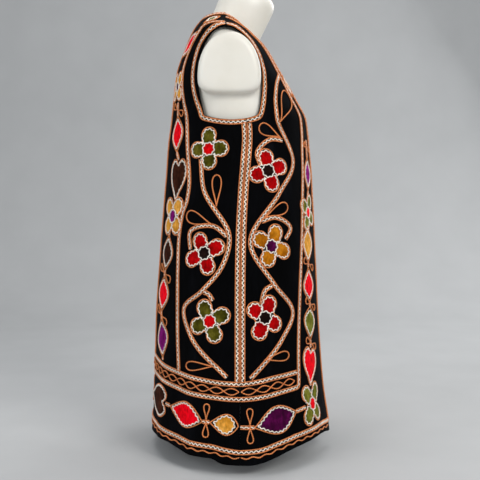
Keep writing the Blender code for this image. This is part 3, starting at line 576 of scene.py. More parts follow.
# ---------------------------------------------------------------- materials
def new_material(name, colour, roughness, metallic=0.0, sheen=0.0, sheen_rough=0.4, sheen_tint=None,
                 specular=0.5, coat=0.0):
    made = bpy.data.materials.new(name)
    made.use_nodes = True
    tree = made.node_tree
    shader = tree.nodes["Principled BSDF"]
    shader.inputs["Base Color"].default_value = (*colour, 1)
    shader.inputs["Roughness"].default_value = roughness
    shader.inputs["Metallic"].default_value = metallic
    shader.inputs["Specular IOR Level"].default_value = specular
    shader.inputs["Sheen Weight"].default_value = sheen
    shader.inputs["Sheen Roughness"].default_value = sheen_rough
    if sheen_tint:
        shader.inputs["Sheen Tint"].default_value = (*sheen_tint, 1)
    shader.inputs["Coat Weight"].default_value = coat
    made.diffuse_color = (*colour, 1)
    return made, tree, shader


def node(tree, kind, **values):
    made = tree.nodes.new(kind)
    for key, value in values.items():
        setattr(made, key, value)
    return made


def noise(tree, scale, detail=4.0, rough=0.55, stretch=None):
    coords = node(tree, "ShaderNodeTexCoord")
    texture = node(tree, "ShaderNodeTexNoise")
    texture.inputs["Scale"].default_value = scale
    texture.inputs["Detail"].default_value = detail
    texture.inputs["Roughness"].default_value = rough
    if stretch:
        mapping = node(tree, "ShaderNodeMapping")
        mapping.inputs["Scale"].default_value = stretch
        tree.links.new(coords.outputs["Object"], mapping.inputs["Vector"])
        tree.links.new(mapping.outputs["Vector"], texture.inputs["Vector"])
    else:
        tree.links.new(coords.outputs["Object"], texture.inputs["Vector"])
    return texture.outputs["Fac"]


def ramp(tree, fac, stops):
    made = node(tree, "ShaderNodeValToRGB")
    elements = made.color_ramp.elements
    while len(elements) < len(stops):
        elements.new(0.5)
    for element, (place, colour) in zip(elements, stops):
        element.position = place
        element.color = (*colour, 1)
    tree.links.new(fac, made.inputs["Fac"])
    return made.outputs["Color"]


def maths(tree, operation, a, b=None):
    made = node(tree, "ShaderNodeMath", operation=operation)
    for k, value in enumerate((a, b)):
        if value is None:
            continue
        if isinstance(value, (int, float)):
            made.inputs[k].default_value = value
        else:
            tree.links.new(value, made.inputs[k])
    return made.outputs["Value"]


def mixed_colour(tree, fac, a, b, blend="MIX"):
    made = node(tree, "ShaderNodeMix", data_type="RGBA", blend_type=blend)
    for key, value in (("Factor", fac), ("A", a), ("B", b)):
        socket = [x for x in made.inputs if x.name == key and x.enabled][0]
        if isinstance(value, (int, float)):
            socket.default_value = value
        elif isinstance(value, tuple):
            socket.default_value = (*value, 1)
        else:
            tree.links.new(value, socket)
    return [x for x in made.outputs if x.enabled][0]


def bumped(tree, shader, height, strength, distance, under=None):
    made = node(tree, "ShaderNodeBump")
    made.inputs["Strength"].default_value = strength
    made.inputs["Distance"].default_value = distance
    tree.links.new(height, made.inputs["Height"])
    if under is not None:
        tree.links.new(under, made.inputs["Normal"])
    tree.links.new(made.outputs["Normal"], shader.inputs["Normal"])
    return made.outputs["Normal"]


def velvet_material():
    made, tree, shader = new_material(
        "velvet_black", (0.0012, 0.0013, 0.0017), 0.92, sheen=0.022, sheen_rough=0.30,
        sheen_tint=(0.45, 0.52, 0.75), specular=0.035,
    )
    broad = noise(tree, 14.0, 3.0, 0.6, (1.0, 1.0, 0.35))
    fine = noise(tree, 900.0, 2.0, 0.6)
    strokes = noise(tree, 160.0, 3.0, 0.6, (1.0, 1.0, 0.22))
    tone = ramp(tree, broad, [(0.30, (0.0006, 0.0006, 0.0008)), (0.55, (0.0013, 0.0014, 0.0019)),
                              (0.75, (0.0038, 0.0042, 0.0058))])
    flecks = ramp(tree, strokes, [(0.35, (0.72, 0.72, 0.74)), (0.70, (1.35, 1.35, 1.38))])
    tree.links.new(mixed_colour(tree, 1.0, tone, flecks, "MULTIPLY"), shader.inputs["Base Color"])
    rough = maths(tree, "MULTIPLY_ADD", broad, 0.22)
    rough.node.inputs[2].default_value = 0.74
    tree.links.new(rough, shader.inputs["Roughness"])
    first = bumped(tree, shader, strokes, 0.25, 0.0006)
    bumped(tree, shader, fine, 0.45, 0.00035, first)
    return made


def lining_material():
    made, tree, shader = new_material("lining_black", (0.014, 0.014, 0.016), 0.55, sheen=0.1)
    coords = node(tree, "ShaderNodeTexCoord")
    weave = node(tree, "ShaderNodeTexWave", wave_type="BANDS", bands_direction="DIAGONAL")
    weave.inputs["Scale"].default_value = 260.0
    weave.inputs["Distortion"].default_value = 0.6
    tree.links.new(coords.outputs["Object"], weave.inputs["Vector"])
    tone = ramp(tree, weave.outputs["Fac"], [(0.2, (0.010, 0.010, 0.012)), (0.8, (0.022, 0.022, 0.026))])
    tree.links.new(tone, shader.inputs["Base Color"])
    bumped(tree, shader, weave.outputs["Fac"], 0.3, 0.0003)
    return made


def felt_material(name, dark, light, bright, sheen=0.25):
    made, tree, shader = new_material(
        name, light, 0.88, sheen=sheen, sheen_rough=0.45, sheen_tint=tuple(min(1, c * 1.2 + 0.04) for c in bright),
        specular=0.06,
    )
    broad = noise(tree, 55.0, 3.0, 0.6)
    strokes = noise(tree, 240.0, 3.0, 0.65, (1.0, 1.0, 0.45))
    fine = noise(tree, 1100.0, 2.0, 0.6)
    tone = ramp(tree, broad, [(0.32, dark), (0.52, light), (0.72, bright)])
    flecks = ramp(tree, strokes, [(0.33, (0.70, 0.70, 0.70)), (0.68, (1.22, 1.22, 1.22))])
    tree.links.new(mixed_colour(tree, 1.0, tone, flecks, "MULTIPLY"), shader.inputs["Base Color"])
    first = bumped(tree, shader, strokes, 0.35, 0.0006)
    bumped(tree, shader, fine, 0.5, 0.0003, first)
    return made


def twist_material(name, groove_shade, middle, light, pitch, roughness, sheen):
    """Twisted yarn: slanting ply stripes along the cord, from the cord's own length and turn; its colour holds painted
    shade in the grooves of the twist and a painted highlight on each ply's crest.
    """
    made, tree, shader = new_material(name, middle, roughness, sheen=sheen, sheen_rough=0.5, specular=0.3)
    uv = node(tree, "ShaderNodeUVMap", uv_map="UVMap")
    split = node(tree, "ShaderNodeSeparateXYZ")
    tree.links.new(uv.outputs["UV"], split.inputs["Vector"])
    turns = maths(tree, "MULTIPLY", split.outputs["X"], 1.0 / pitch)
    phase = maths(tree, "MULTIPLY", maths(tree, "ADD", turns, maths(tree, "MULTIPLY", split.outputs["Y"], 2.0)), 2 * math.pi)
    wave = maths(tree, "MULTIPLY_ADD", maths(tree, "SINE", phase), 0.5)
    wave.node.inputs[2].default_value = 0.5
    fibres = noise(tree, 700.0, 3.0, 0.6)
    broad = noise(tree, 70.0, 2.0, 0.5)
    # painted shade and highlight: the colour follows the bump's wave, darkest in the ply grooves and lightest on the
    # ply crests
    ply_shade_and_highlight = ramp(tree, wave, [(0.05, groove_shade), (0.45, middle), (0.95, light)])
    shade = ramp(tree, broad, [(0.30, (0.80, 0.78, 0.76)), (0.70, (1.16, 1.14, 1.12))])
    tree.links.new(mixed_colour(tree, 1.0, ply_shade_and_highlight, shade, "MULTIPLY"), shader.inputs["Base Color"])
    first = bumped(tree, shader, wave, 0.7, 0.0005)
    bumped(tree, shader, fibres, 0.35, 0.0002, first)
    return made


def form_material():
    made, tree, shader = new_material("form_cream", (0.80, 0.77, 0.69), 0.42, specular=0.45, coat=0.12)
    shader.inputs["Coat Roughness"].default_value = 0.28
    shader.inputs["Subsurface Weight"].default_value = 0.06
    shader.inputs["Subsurface Radius"].default_value = (0.006, 0.005, 0.004)
    broad = noise(tree, 9.0, 4.0, 0.55)
    grain = noise(tree, 420.0, 3.0, 0.6)
    tone = ramp(tree, broad, [(0.30, (0.76, 0.725, 0.64)), (0.55, (0.82, 0.79, 0.71)), (0.80, (0.85, 0.83, 0.77))])
    tree.links.new(tone, shader.inputs["Base Color"])
    rough = maths(tree, "MULTIPLY_ADD", broad, 0.22)
    rough.node.inputs[2].default_value = 0.30
    tree.links.new(rough, shader.inputs["Roughness"])
    bumped(tree, shader, grain, 0.10, 0.0003)
    return made


def steel_material(name, vertical):
    made, tree, shader = new_material(name, (0.56, 0.56, 0.57), 0.30, metallic=1.0)
    stretch = (1.0, 1.0, 60.0) if vertical else (1.0, 1.0, 1.0)
    lines = noise(tree, 120.0 if vertical else 60.0, 4.0, 0.6, stretch)
    tone = ramp(tree, lines, [(0.3, (0.46, 0.46, 0.47)), (0.7, (0.64, 0.64, 0.65))])
    tree.links.new(tone, shader.inputs["Base Color"])
    rough = maths(tree, "MULTIPLY_ADD", lines, 0.25)
    rough.node.inputs[2].default_value = 0.20
    tree.links.new(rough, shader.inputs["Roughness"])
    bumped(tree, shader, lines, 0.06, 0.0002)
    return made


def floor_material():
    made, tree, shader = new_material("studio_paper", (0.50, 0.51, 0.515), 0.9, specular=0.2)
    tone = ramp(tree, noise(tree, 6.0, 3.0, 0.5), [(0.3, (0.49, 0.50, 0.505)), (0.7, (0.515, 0.525, 0.53))])
    tree.links.new(tone, shader.inputs["Base Color"])
    bumped(tree, shader, noise(tree, 500.0, 2.0, 0.5), 0.05, 0.0003)
    return made


VELVET = velvet_material()
LINING = lining_material()
# The first colour of each twist is painted shade for the ply grooves, the last a painted highlight for the ply crests.
COPPER = twist_material("cord_copper", (0.36, 0.080, 0.018), (0.78, 0.225, 0.060), (0.95, 0.37, 0.125), 0.0042, 0.66, 0.03)
CREAM = twist_material("braid_cream", (0.84, 0.77, 0.66), (0.97, 0.93, 0.85), (0.99, 0.97, 0.93), 0.0030, 0.72, 0.10)
RED = felt_material("velvet_red", (0.25, 0.0, 0.0005), (0.43, 0.0003, 0.0012), (0.59, 0.0008, 0.003), 0.02)
RED_BRIGHT = felt_material("velvet_crimson", (0.78, 0.0, 0.005), (1.0, 0.0006, 0.011), (1.0, 0.002, 0.022), 0.01)
RED_CLEAR = felt_material("velvet_scarlet", (0.46, 0.0, 0.0006), (0.62, 0.0006, 0.0022), (0.74, 0.0015, 0.005), 0.02)
OLIVE = felt_material("velvet_olive", (0.031, 0.028, 0.0015), (0.080, 0.070, 0.0045), (0.155, 0.132, 0.015), 0.02)
OLIVE_BRIGHT = felt_material("velvet_moss", (0.082, 0.086, 0.007), (0.18, 0.18, 0.020), (0.31, 0.30, 0.050), 0.03)
MUSTARD = felt_material("velvet_mustard", (0.31, 0.092, 0.0015), (0.51, 0.170, 0.005), (0.66, 0.255, 0.016), 0.02)
MUSTARD_BRIGHT = felt_material("velvet_amber", (0.56, 0.225, 0.016), (0.80, 0.36, 0.050), (0.92, 0.48, 0.11), 0.03)
PURPLE = felt_material("velvet_purple", (0.027, 0.0004, 0.016), (0.063, 0.0012, 0.038), (0.115, 0.003, 0.072), 0.02)
PURPLE_BRIGHT = felt_material("velvet_plum", (0.12, 0.002, 0.085), (0.22, 0.005, 0.16), (0.33, 0.016, 0.25), 0.03)
BROWN = felt_material("velvet_brown", (0.018, 0.0042, 0.0016), (0.042, 0.0100, 0.0036), (0.078, 0.021, 0.0085), 0.02)
BROWN_DEEP = felt_material("velvet_umber", (0.005, 0.0018, 0.0014), (0.010, 0.0036, 0.0026), (0.024, 0.009, 0.006), 0.01)
FORM_CREAM = form_material()
STEEL_ROD = steel_material("steel_rod", True)
STEEL_BASE = steel_material("steel_base", False)

COLOURS = {
    # name: (materials by tone, the record's slot)
    "red": ([RED, RED_BRIGHT, RED_CLEAR], "felt_red"),
    "olive": ([OLIVE, OLIVE_BRIGHT], "felt_olive"),
    "mustard": ([MUSTARD, MUSTARD_BRIGHT], "felt_mustard"),
    "purple": ([PURPLE, PURPLE_BRIGHT], "felt_purple"),
    "brown": ([BROWN, BROWN_DEEP], "felt_brown"),
}

# ---------------------------------------------------------------- heaps, one a panel
PANELS = ("front_right", "front_left", "back")
CORDS = {p: Heap() for p in PANELS}
BRAIDS = {p: Heap() for p in PANELS}
FELTS = {(p, c): Heap() for p in PANELS for c in COLOURS}


def sides():
    """The two halves: a tag, and what turns a path on the right half into that half's."""
    return (("right", lambda path: path), ("left", mirror))


def panel_of(where, tag):
    return "back" if where == "back" else "front_" + tag


# ---------------------------------------------------------------- cloth panels
def front_edge(level):
    return on_x(front_gap(level), level, back=False)


def front_edge_path():
    zs = [ARMHOLE_FLOOR, 0.676, 0.705, 0.735, 0.764, 0.793, 0.810, 0.821, 0.831, 0.8395, 0.847]
    shift = -math.degrees(SEAM_GAP / 2 / 0.043)
    return [(float(front_edge(z)), z) for z in zs] + [(-31.5, 0.8535), (SHOULDER_TOP[0] + shift, SHOULDER_TOP[1])]


def arm_path(rows, sign):
    shift = sign * math.degrees(SEAM_GAP / 2 / 0.062)
    return list(rows[:-1]) + [(rows[-1][0] + shift, rows[-1][1])]


def back_neck_path():
    shift = math.degrees(SEAM_GAP / 2 / 0.043)
    return [(90, BACK_NECK_Z), (62, 0.8546), (38, 0.8552), (16, 0.8566), (-3, 0.8583),
            (SHOULDER_TOP[0] + shift, SHOULDER_TOP[1])]


ROWS, ACROSS, BESIDE = ((130, 60, 16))
UPPER = 64


def lower_grid(edge, corner, toward_back):
    t = np.linspace(0, 1, ROWS + 1)
    grid = np.empty((ROWS + 1, ACROSS + BESIDE + 1, 2))
    for j, level in enumerate(0.033 + t * (ARMHOLE_FLOOR - 0.033)):
        seam = float(seam_phi(level) + side_turn(SEAM_GAP / 2, level, toward_back))
        phi = np.concatenate([
            np.linspace(float(edge(level)), corner, ACROSS + 1),
            np.linspace(corner, seam, BESIDE + 1)[1:],
        ])
        top = np.where((phi > CORNER_FRONT) & (phi < CORNER_BACK), arm_floor_z(phi), ARMHOLE_FLOOR)
        bottom = hem_z(phi)
        grid[j, :, 0] = phi
        grid[j, :, 1] = bottom + t[j] * (top - bottom)
    return grid


def ruled(inner, outer):
    f = np.linspace(0, 1, ACROSS + 1)[None, :, None]
    return inner[:, None] * (1 - f) + outer[:, None] * f


def sheet_piece(name, grids, nodes):
    ids, quads, places = {}, [], []
    for grid in grids:
        flat = grid.reshape(-1, 2)
        xyz = surf(flat[:, 0], flat[:, 1])
        keys = [tuple(k) for k in np.round(xyz * 2e5).astype(int)]
        index = np.empty(len(flat), int)
        for k, key in enumerate(keys):
            if key not in ids:
                ids[key] = len(places)
                places.append(flat[k])
            index[k] = ids[key]
        index = index.reshape(grid.shape[:2])
        a, b, c, d = index[:-1, :-1], index[:-1, 1:], index[1:, 1:], index[1:, :-1]
        quads.append(np.stack([a, b, c, d], -1).reshape(-1, 4))
    places = np.array(places)
    quads = np.concatenate(quads)
    outer = surf(places[:, 0], places[:, 1])
    n = normal(places[:, 0], places[:, 1])
    inner = outer - n * CLOTH
    faces = []
    for q in quads:
        kept = [int(q[0])]
        for k in q[1:]:
            if k != kept[-1]:
                kept.append(int(k))
        if kept[-1] == kept[0]:
            kept.pop()
        if len(set(kept)) < 3:
            continue
        p0, p1, p2 = outer[kept[0]], outer[kept[1]], outer[kept[2]]
        if np.dot(np.cross(p1 - p0, p2 - p0), n[kept[0]]) < 0:
            kept = kept[::-1]
        faces.append(kept)
    area = 0.0
    edges = set()
    for f in faces:
        for k in range(len(f)):
            edges.add((f[k], f[(k + 1) % len(f)]))
        for k in range(1, len(f) - 1):
            area += 0.5 * np.linalg.norm(np.cross(outer[f[k]] - outer[f[0]], outer[f[k + 1]] - outer[f[0]]))
    count = len(outer)
    heap = Heap()
    tris = [f for f in faces if len(f) == 3]
    fours = [f for f in faces if len(f) == 4]
    rim = [[b, a, a + count, b + count] for a, b in sorted(edges) if (b, a) not in edges]
    heap.add(
        np.concatenate([outer, inner]),
        [np.array(fours), np.array(tris).reshape(-1, 3), np.array(rim)],
        np.concatenate([places, places]) * (0.003, 1.0),
    )
    heap.faces += [np.array(fours)[:, ::-1] + count] + ([np.array(tris)[:, ::-1] + count] if tris else [])
    heap.slots += [np.full(len(fours), 1)] + ([np.full(len(tris), 1)] if tris else [])
    obj = heap.made(name, [VELVET, LINING])

    def on_seam(k):
        psi = min(places[k][0], 180 - places[k][0])
        return places[k][1] < 0.652 and abs(psi - float(seam_phi(places[k][1]))) < 0.4

    # Where two panels meet at a side seam the edge stays square.
    open_edges = {
        tuple(sorted(pair))
        for a, b in edges if (b, a) not in edges and not (on_seam(a) and on_seam(b))
        for pair in ((a, b), (a + count, b + count))
    }
    ends = np.empty(2 * len(obj.data.edges), np.int32)
    obj.data.edges.foreach_get("vertices", ends)
    weight = obj.data.attributes.new("bevel_weight_edge", "FLOAT", "EDGE")
    weight.data.foreach_set(
        "value", [1.0 if tuple(sorted(pair)) in open_edges else 0.0 for pair in ends.reshape(-1, 2).tolist()]
    )
    soften = obj.modifiers.new("turned_edge", "BEVEL")
    soften.width = 0.0002
    soften.segments = 2
    soften.limit_method = "WEIGHT"
    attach(obj, "root")
    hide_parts(*nodes)
    return obj, area


def build_panels():
    front = [
        lower_grid(front_edge, CORNER_FRONT, False),
        ruled(even(front_edge_path(), UPPER), even(arm_path(ARM_FRONT, -1), UPPER)),
    ]
    centre = np.stack([
        np.full(int(UPPER * 0.6), 90.0),
        ARMHOLE_FLOOR + (BACK_NECK_Z - ARMHOLE_FLOOR) * np.arange(int(UPPER * 0.6)) / int(UPPER * 0.6),
    ], -1)
    rest = UPPER + 8 - int(UPPER * 0.6)
    inner = np.concatenate([centre, even(back_neck_path(), rest)])
    outer = even(arm_path(ARM_BACK, 1), len(inner) - 1)
    back = [lower_grid(lambda level: 90.0, CORNER_BACK, True), ruled(inner, outer)]

    def flip(grids):
        return [np.stack([180 - g[..., 0], g[..., 1]], -1) for g in grids]

    return {
        "front_right": sheet_piece("velvet_front_right", front, ["front_right"]),
        "front_left": sheet_piece("velvet_front_left", flip(front), ["front_left"]),
        "back": sheet_piece("velvet_back", back + flip(back), ["back_panel"]),
    }


# ---------------------------------------------------------------- bands of trim
def build_bands():
    half = BAND_WIDTH / 2
    clear = half + 0.0002
    edge = np.array([(float(front_edge(z)), z) for z in np.linspace(0.040, 0.640, 9)] + front_edge_path())
    edge = offset(path_through(edge, 0.006), EDGE_MARGIN + half)
    foot = float(hem_line_z(edge[0][0])) - half + 0.0012
    edge = edge[edge[:, 1] > foot + 0.004]
    edge = np.concatenate([[(edge[0][0], foot)], edge])
    edge = trimmed(rounded(edge), 0.0, 0.0060)
    column = path_through(FRONT_COLUMN, 0.0024)
    low = column[column[:, 1] < 0.6]
    column_phi = curve([(p[1], p[0]) for p in low[::6]], 0, 1)

    rim = even(arm_path(ARM_FRONT, -1)[::-1], 60)
    seam_side = float(seam_phi(0.649) + side_turn(SEAM_GAP / 2, 0.649, False))
    floor = np.array([(p, float(arm_floor_z(p))) for p in np.linspace(CORNER_FRONT, seam_side, 10)])
    arm_front = rounded(offset(np.concatenate([rim, floor[1:]]), ARM_MARGIN + half), 0.005)
    arm_front = trimmed(arm_front, 0.0012, 0.0006)
    rim = even(arm_path(ARM_BACK, 1)[::-1], 60)
    seam_side = float(seam_phi(0.649) + side_turn(SEAM_GAP / 2, 0.649, True))
    floor = np.array([(p, float(arm_floor_z(p))) for p in np.linspace(CORNER_BACK, seam_side, 16)])
    arm_back = rounded(
        offset(np.concatenate([rim, floor[1:]]), lambda z: -(back_arm_margin(z) + half)), 0.005
    )
    arm_back = trimmed(arm_back, 0.0012, 0.0006)

    seam_off = float(side_turn(0.0003, 0.15, False))

    def line(z_of, start, end):
        phi = np.linspace(start, end, 60)
        return equal_steps(np.stack([phi, z_of(phi)], -1), 0.0024)

    end_upper = float(column_phi(0.1755)) + math.degrees(clear / 0.195)
    corner = float(column_phi(0.1480))
    upper = line(upper_z, seam_off, end_upper)
    # The column border turns the corner and runs on as the lower line.
    lower = line(lower_z, corner, seam_off)
    turned = np.concatenate([column[column[:, 1] > 0.1480 + 0.0005], lower])
    turned = rounded(turned, 0.004)
    turned = trimmed(turned, 0.0020, 0.0)
    end_hem = float(edge[0][0]) + math.degrees(half / 0.235)
    hem = line(hem_line_z, seam_off, end_hem)
    top_side = float(arm_floor_z(-8.0)) - (ARM_MARGIN + BAND_WIDTH)
    low_side = float(upper_z(0)) + half
    beside = SEAM_GAP / 2 + 0.0003 + half

    def side_path(sign):
        z = np.linspace(top_side, low_side, 50)
        return equal_steps(np.stack([seam_phi(z) + side_turn(beside, z, sign > 0), z], -1), 0.0024)

    for tag, turn in sides():
        p = "front_" + tag
        for path in (edge, turned, arm_front, upper, hem, side_path(-1)):
            band(CORDS[p], BRAIDS[p], turn(path))

    column = path_through(BACK_COLUMN, 0.0024)
    foot = float(upper_z(42)) + half
    column = column[column[:, 1] > foot]
    column = np.concatenate([column, [(BACK_COLUMN[-1][0] + 0.1, foot)]])
    column = trimmed(column, 0.0015, 0.0)
    z = np.linspace(0.8450, float(upper_z(75)) + half, 90)
    inner = equal_steps(np.stack([on_x(back_inner_x(z), z, back=True), z], -1), 0.0024)
    for tag, turn in sides():
        for path in (column, inner, arm_back, side_path(1)):
            band(CORDS["back"], BRAIDS["back"], turn(path))

    def across(z_of):
        phi = np.linspace(-seam_off, 90, 90)
        half_path = np.stack([phi, z_of(phi)], -1)
        return equal_steps(np.concatenate([half_path, mirror(half_path[:-1])[::-1]]), 0.0024)

    neck = np.array(back_neck_path())
    neck = np.concatenate([neck[::-1], mirror(neck[1:])])
    neck = offset(path_through(neck, 0.006), 0.0022 + half)
    neck = trimmed(rounded(neck, 0.003), 0.0030, 0.0030)
    for path in (across(upper_z), across(lower_z), across(hem_line_z), neck):
        band(CORDS["back"], BRAIDS["back"], path)


# ---------------------------------------------------------------- motifs
FLOWERS = [
    # where, phi, z, petal colour, its tone, centre colour, its tone, size, petals (towards the back, up; mm)
    ("back", 23.1, 0.5926, "olive", 0, "red", 2, 1.05, ((1, 26), (25.5, -1), (-3, -24), (-25, 1))),
    ("back", 24.2, 0.3990, "red", 0, "brown", 1, 1.06, ((11, 23), (27, -12), (-9, -25), (-25.5, 12))),
    ("back", 19.1, 0.2750, "olive", 0, "red", 2, 1.06, ((12, 24.5), (24.5, -10), (-11, -24), (-24, 12))),
    ("front", -21.2, 0.5517, "red", 0, "brown", 1, 1.06, ((3, 26), (23.5, -7), (-6, -24.5), (-27.5, 8.5))),
    ("front", -22.4, 0.4118, "mustard", 0, "purple", 0, 1.06, ((22.5, 13.5), (9, -23.5), (-27, -9.5), (-10.5, 25.5))),
    ("front", -16.8, 0.2820, "red", 0, "brown", 1, 1.05, ((19, 14.5), (12.5, -25.5), (-19, -12), (-9.5, 25.5))),
    ("front", -52.4, 0.1092, "olive", 1, "red", 1, 1.06, ((19, 22), (21, -22), (-17.5, -20), (-21, 23))),
    ("front", -61.8, 0.4722, "olive", 1, "red", 1, 0.96, ((19, 14), (11, -22), (-19, -13), (-11, 22))),
    ("back", 65.4, 0.7177, "mustard", 1, "purple", 0, 0.86, ((16, 16), (16, -16), (-16, -16), (-16, 16))),
    ("back", 55.6, 0.4655, "mustard", 1, "purple", 1, 1.16, ((18.5, 19), (18, -20), (-18.5, -19), (-18, 20))),
]
LEAVES = [
    # where, start (phi, z), end (phi, z), half_width mm, belly (0 start, 1 end), colour, tone
    ("front", (-65.6, 0.6980), (-66.4, 0.7420), 9.0, 0.50, "mustard", 1),
    ("front", (-66.2, 0.5800), (-63.6, 0.5145), 17.5, 0.50, "purple", 1),
    ("front", (-59.8, 0.4440), (-57.8, 0.3745), 23.0, 0.45, "mustard", 1),
    ("front", (-57.8, 0.3675), (-58.2, 0.3000), 26.0, 0.55, "red", 1),
    ("front", (-58.2, 0.2900), (-56.4, 0.2270), 26.0, 0.42, "olive", 1),
    ("front", (-8.4, 0.0868), (-37.8, 0.1055), 25.0, 0.52, "purple", 0),
    ("back", (0.9, 0.0905), (18.4, 0.0942), 18.5, 0.40, "mustard", 1),
    ("back", (22.4, 0.0938), (49.0, 0.1080), 23.0, 0.47, "red", 1),
    ("back", (37.0, 0.8310), (-1.0, 0.8475), 11.5, 0.50, "olive", 1),
    ("back", (72.0, 0.7760), (44.5, 0.8165), 16.0, 0.50, "red", 1),
    ("back", (59.0, 0.6605), (55.6, 0.5885), 22.5, 0.50, "red", 1),
    ("back", (58.8, 0.4285), (61.0, 0.3595), 25.0, 0.50, "brown", 0),
    ("back", (62.0, 0.3490), (63.4, 0.2790), 29.0, 0.50, "red", 1),
    ("back", (63.2, 0.2650), (58.8, 0.1925), 29.0, 0.50, "purple", 1),
]
HEARTS = [
    # where, notch (phi, z), tip (phi, z), half_width mm, colour, tone
    ("front", (-56.0, 0.2115), (-52.4, 0.1490), 31.0, "red", 1),
    ("back", (52.4, 0.5735), (53.2, 0.5005), 30.0, "brown", 0),
    ("back", (53.4, 0.1085), (78.5, 0.1085), 31.0, "brown", 0),
]
LOOPS = [
    # where, base (phi, z), tip (phi, z), width against length
    ("back", (16.2, 0.4855), (16.6, 0.5438), 0.31),
    ("back", (18.5, 0.4513), (40.0, 0.4707), 0.36),
    ("back", (15.8, 0.1945), (35.6, 0.1906), 0.26),
    ("front", (-33.5, 0.6148), (-16.9, 0.6355), 0.48),
    ("front", (-35.3, 0.6447), (-58.5, 0.7065), 0.42),
    ("front", (-17.3, 0.4650), (-36.6, 0.4878), 0.36),
    ("front", (-15.6, 0.2061), (-33.8, 0.2115), 0.30),
]
BOWS = [
    # where, phi, z, loop length mm, loop width mm, turn of the first loop from straight up, degrees
    ("front", -5.9, 0.0903, 31, 11, 0), ("back", 20.3, 0.0966, 30, 11, 0),
    ("back", 90.0, 0.1085, 26, 12, 0),
    ("front", -66.8, 0.6006, 16, 10, 70), ("front", -59.0, 0.3722, 25, 12, 66),
    ("front", -59.4, 0.2950, 26, 12, 66), ("front", -57.4, 0.2200, 26, 12, 66),
    ("back", 59.6, 0.6715, 26, 12, 68), ("back", 61.5, 0.3542, 32, 14, 66),
    ("back", 63.3, 0.2720, 34, 14, 66),
]
STEMS = [
    # where, start trim, end trim, the turns of a rounded curve (phi, z)
    ("back", 0.0, 0.004, ((29.5, 0.574), (26.5, 0.519), (7.0, 0.430), (11.5, 0.376), (25.3, 0.328),
                          (38.0, 0.295), (32.0, 0.246), (7.0, 0.1735))),
    ("back", 0.0055, 0.0, ((25.3, 0.328), (20.5, 0.325), (17.2, 0.313))),
    ("back", 0.0060, 0.0, ((7.2, 0.427), (18.0, 0.449), (36.0, 0.437), (35.0, 0.405))),
    ("front", 0.0045, 0.004, ((-60.5, 0.742), (-46.0, 0.717), (-33.0, 0.656), (-44.5, 0.569), (-30.0, 0.511),
                              (-7.2, 0.419), (-23.8, 0.342), (-38.5, 0.288), (-29.0, 0.241), (-5.7, 0.171))),
    ("front", 0.0055, 0.0, ((-37.1, 0.609), (-24.0, 0.610), (-13.5, 0.585), (-15.5, 0.561))),
    ("front", 0.0055, 0.0, ((-13.5, 0.456), (-26.0, 0.465), (-38.8, 0.444), (-34.0, 0.424))),
    ("front", 0.0055, 0.0, ((-23.8, 0.342), (-17.0, 0.331), (-14.5, 0.309))),
]
LINKS = [
    # where, points (phi, z): short runs of narrow band between motifs
    ("front", ((-63.6, 0.5140), (-62.4, 0.5060))), ("front", ((-60.2, 0.4460), (-59.8, 0.4430))),
    ("front", ((-57.8, 0.3770), (-57.8, 0.3675))), ("front", ((-58.2, 0.3000), (-58.2, 0.2895))),
    ("front", ((-56.4, 0.2275), (-56.0, 0.2130))), ("front", ((-52.4, 0.1490), (-52.4, 0.1430))),
    ("front", ((-36.8, 0.1050), (-45.0, 0.1075))), ("front", ((-0.2, 0.0880), (-8.6, 0.0872))),
    ("front", ((-66.9, 0.6140), (-66.2, 0.5790))),
    ("back", ((18.4, 0.0942), (22.6, 0.0940))), ("back", ((49.0, 0.1080), (53.0, 0.1085))),
    ("back", ((79.0, 0.1085), (90.0, 0.1085))),
    ("back", ((60.4, 0.6860), (59.0, 0.6600))), ("back", ((55.6, 0.5885), (52.4, 0.5745))),
    ("back", ((53.2, 0.5010), (53.6, 0.4990))), ("back", ((58.0, 0.4330), (58.8, 0.4280))),
    ("back", ((61.0, 0.3595), (62.0, 0.3485))), ("back", ((63.4, 0.2795), (63.2, 0.2645))),
    ("back", ((58.8, 0.1930), (58.7, 0.1880))),
]


def outline_run(points, step=0.0022):
    """Equal steps round a closed outline of small distances."""
    p = np.concatenate([points, points[:1]])
    at = np.concatenate([[0.0], np.cumsum(np.linalg.norm(np.diff(p, axis=0), axis=1))])
    count = max(12, int(round(at[-1] / step)))
    s = np.linspace(0, at[-1], count + 1)[:-1]
    return np.stack([np.interp(s, at, p[:, 0]), np.interp(s, at, p[:, 1])], -1)


def smooth_loop(points, times=2):
    for _ in range(times):
        points = (np.roll(points, 1, 0) + 2 * points + np.roll(points, -1, 0)) / 4
    return points


def catmull(points, closed, per=16):
    p = np.array(points, float)
    p = np.concatenate([p[-1:], p, p[:2]]) if closed else np.concatenate([2 * p[:1] - p[1:2], p, 2 * p[-1:] - p[-2:-1]])
    out = []
    t = np.linspace(0, 1, per, endpoint=False)[:, None]
    for k in range(1, len(p) - 2):
        a, b, c, d = p[k - 1 : k + 3]
        out.append(0.5 * (2 * b + (c - a) * t + (2 * a - 5 * b + 4 * c - d) * t**2 + (3 * b - a - 3 * c + d) * t**3))
    if not closed:
        out.append(p[-2:-1])
    return np.concatenate(out)


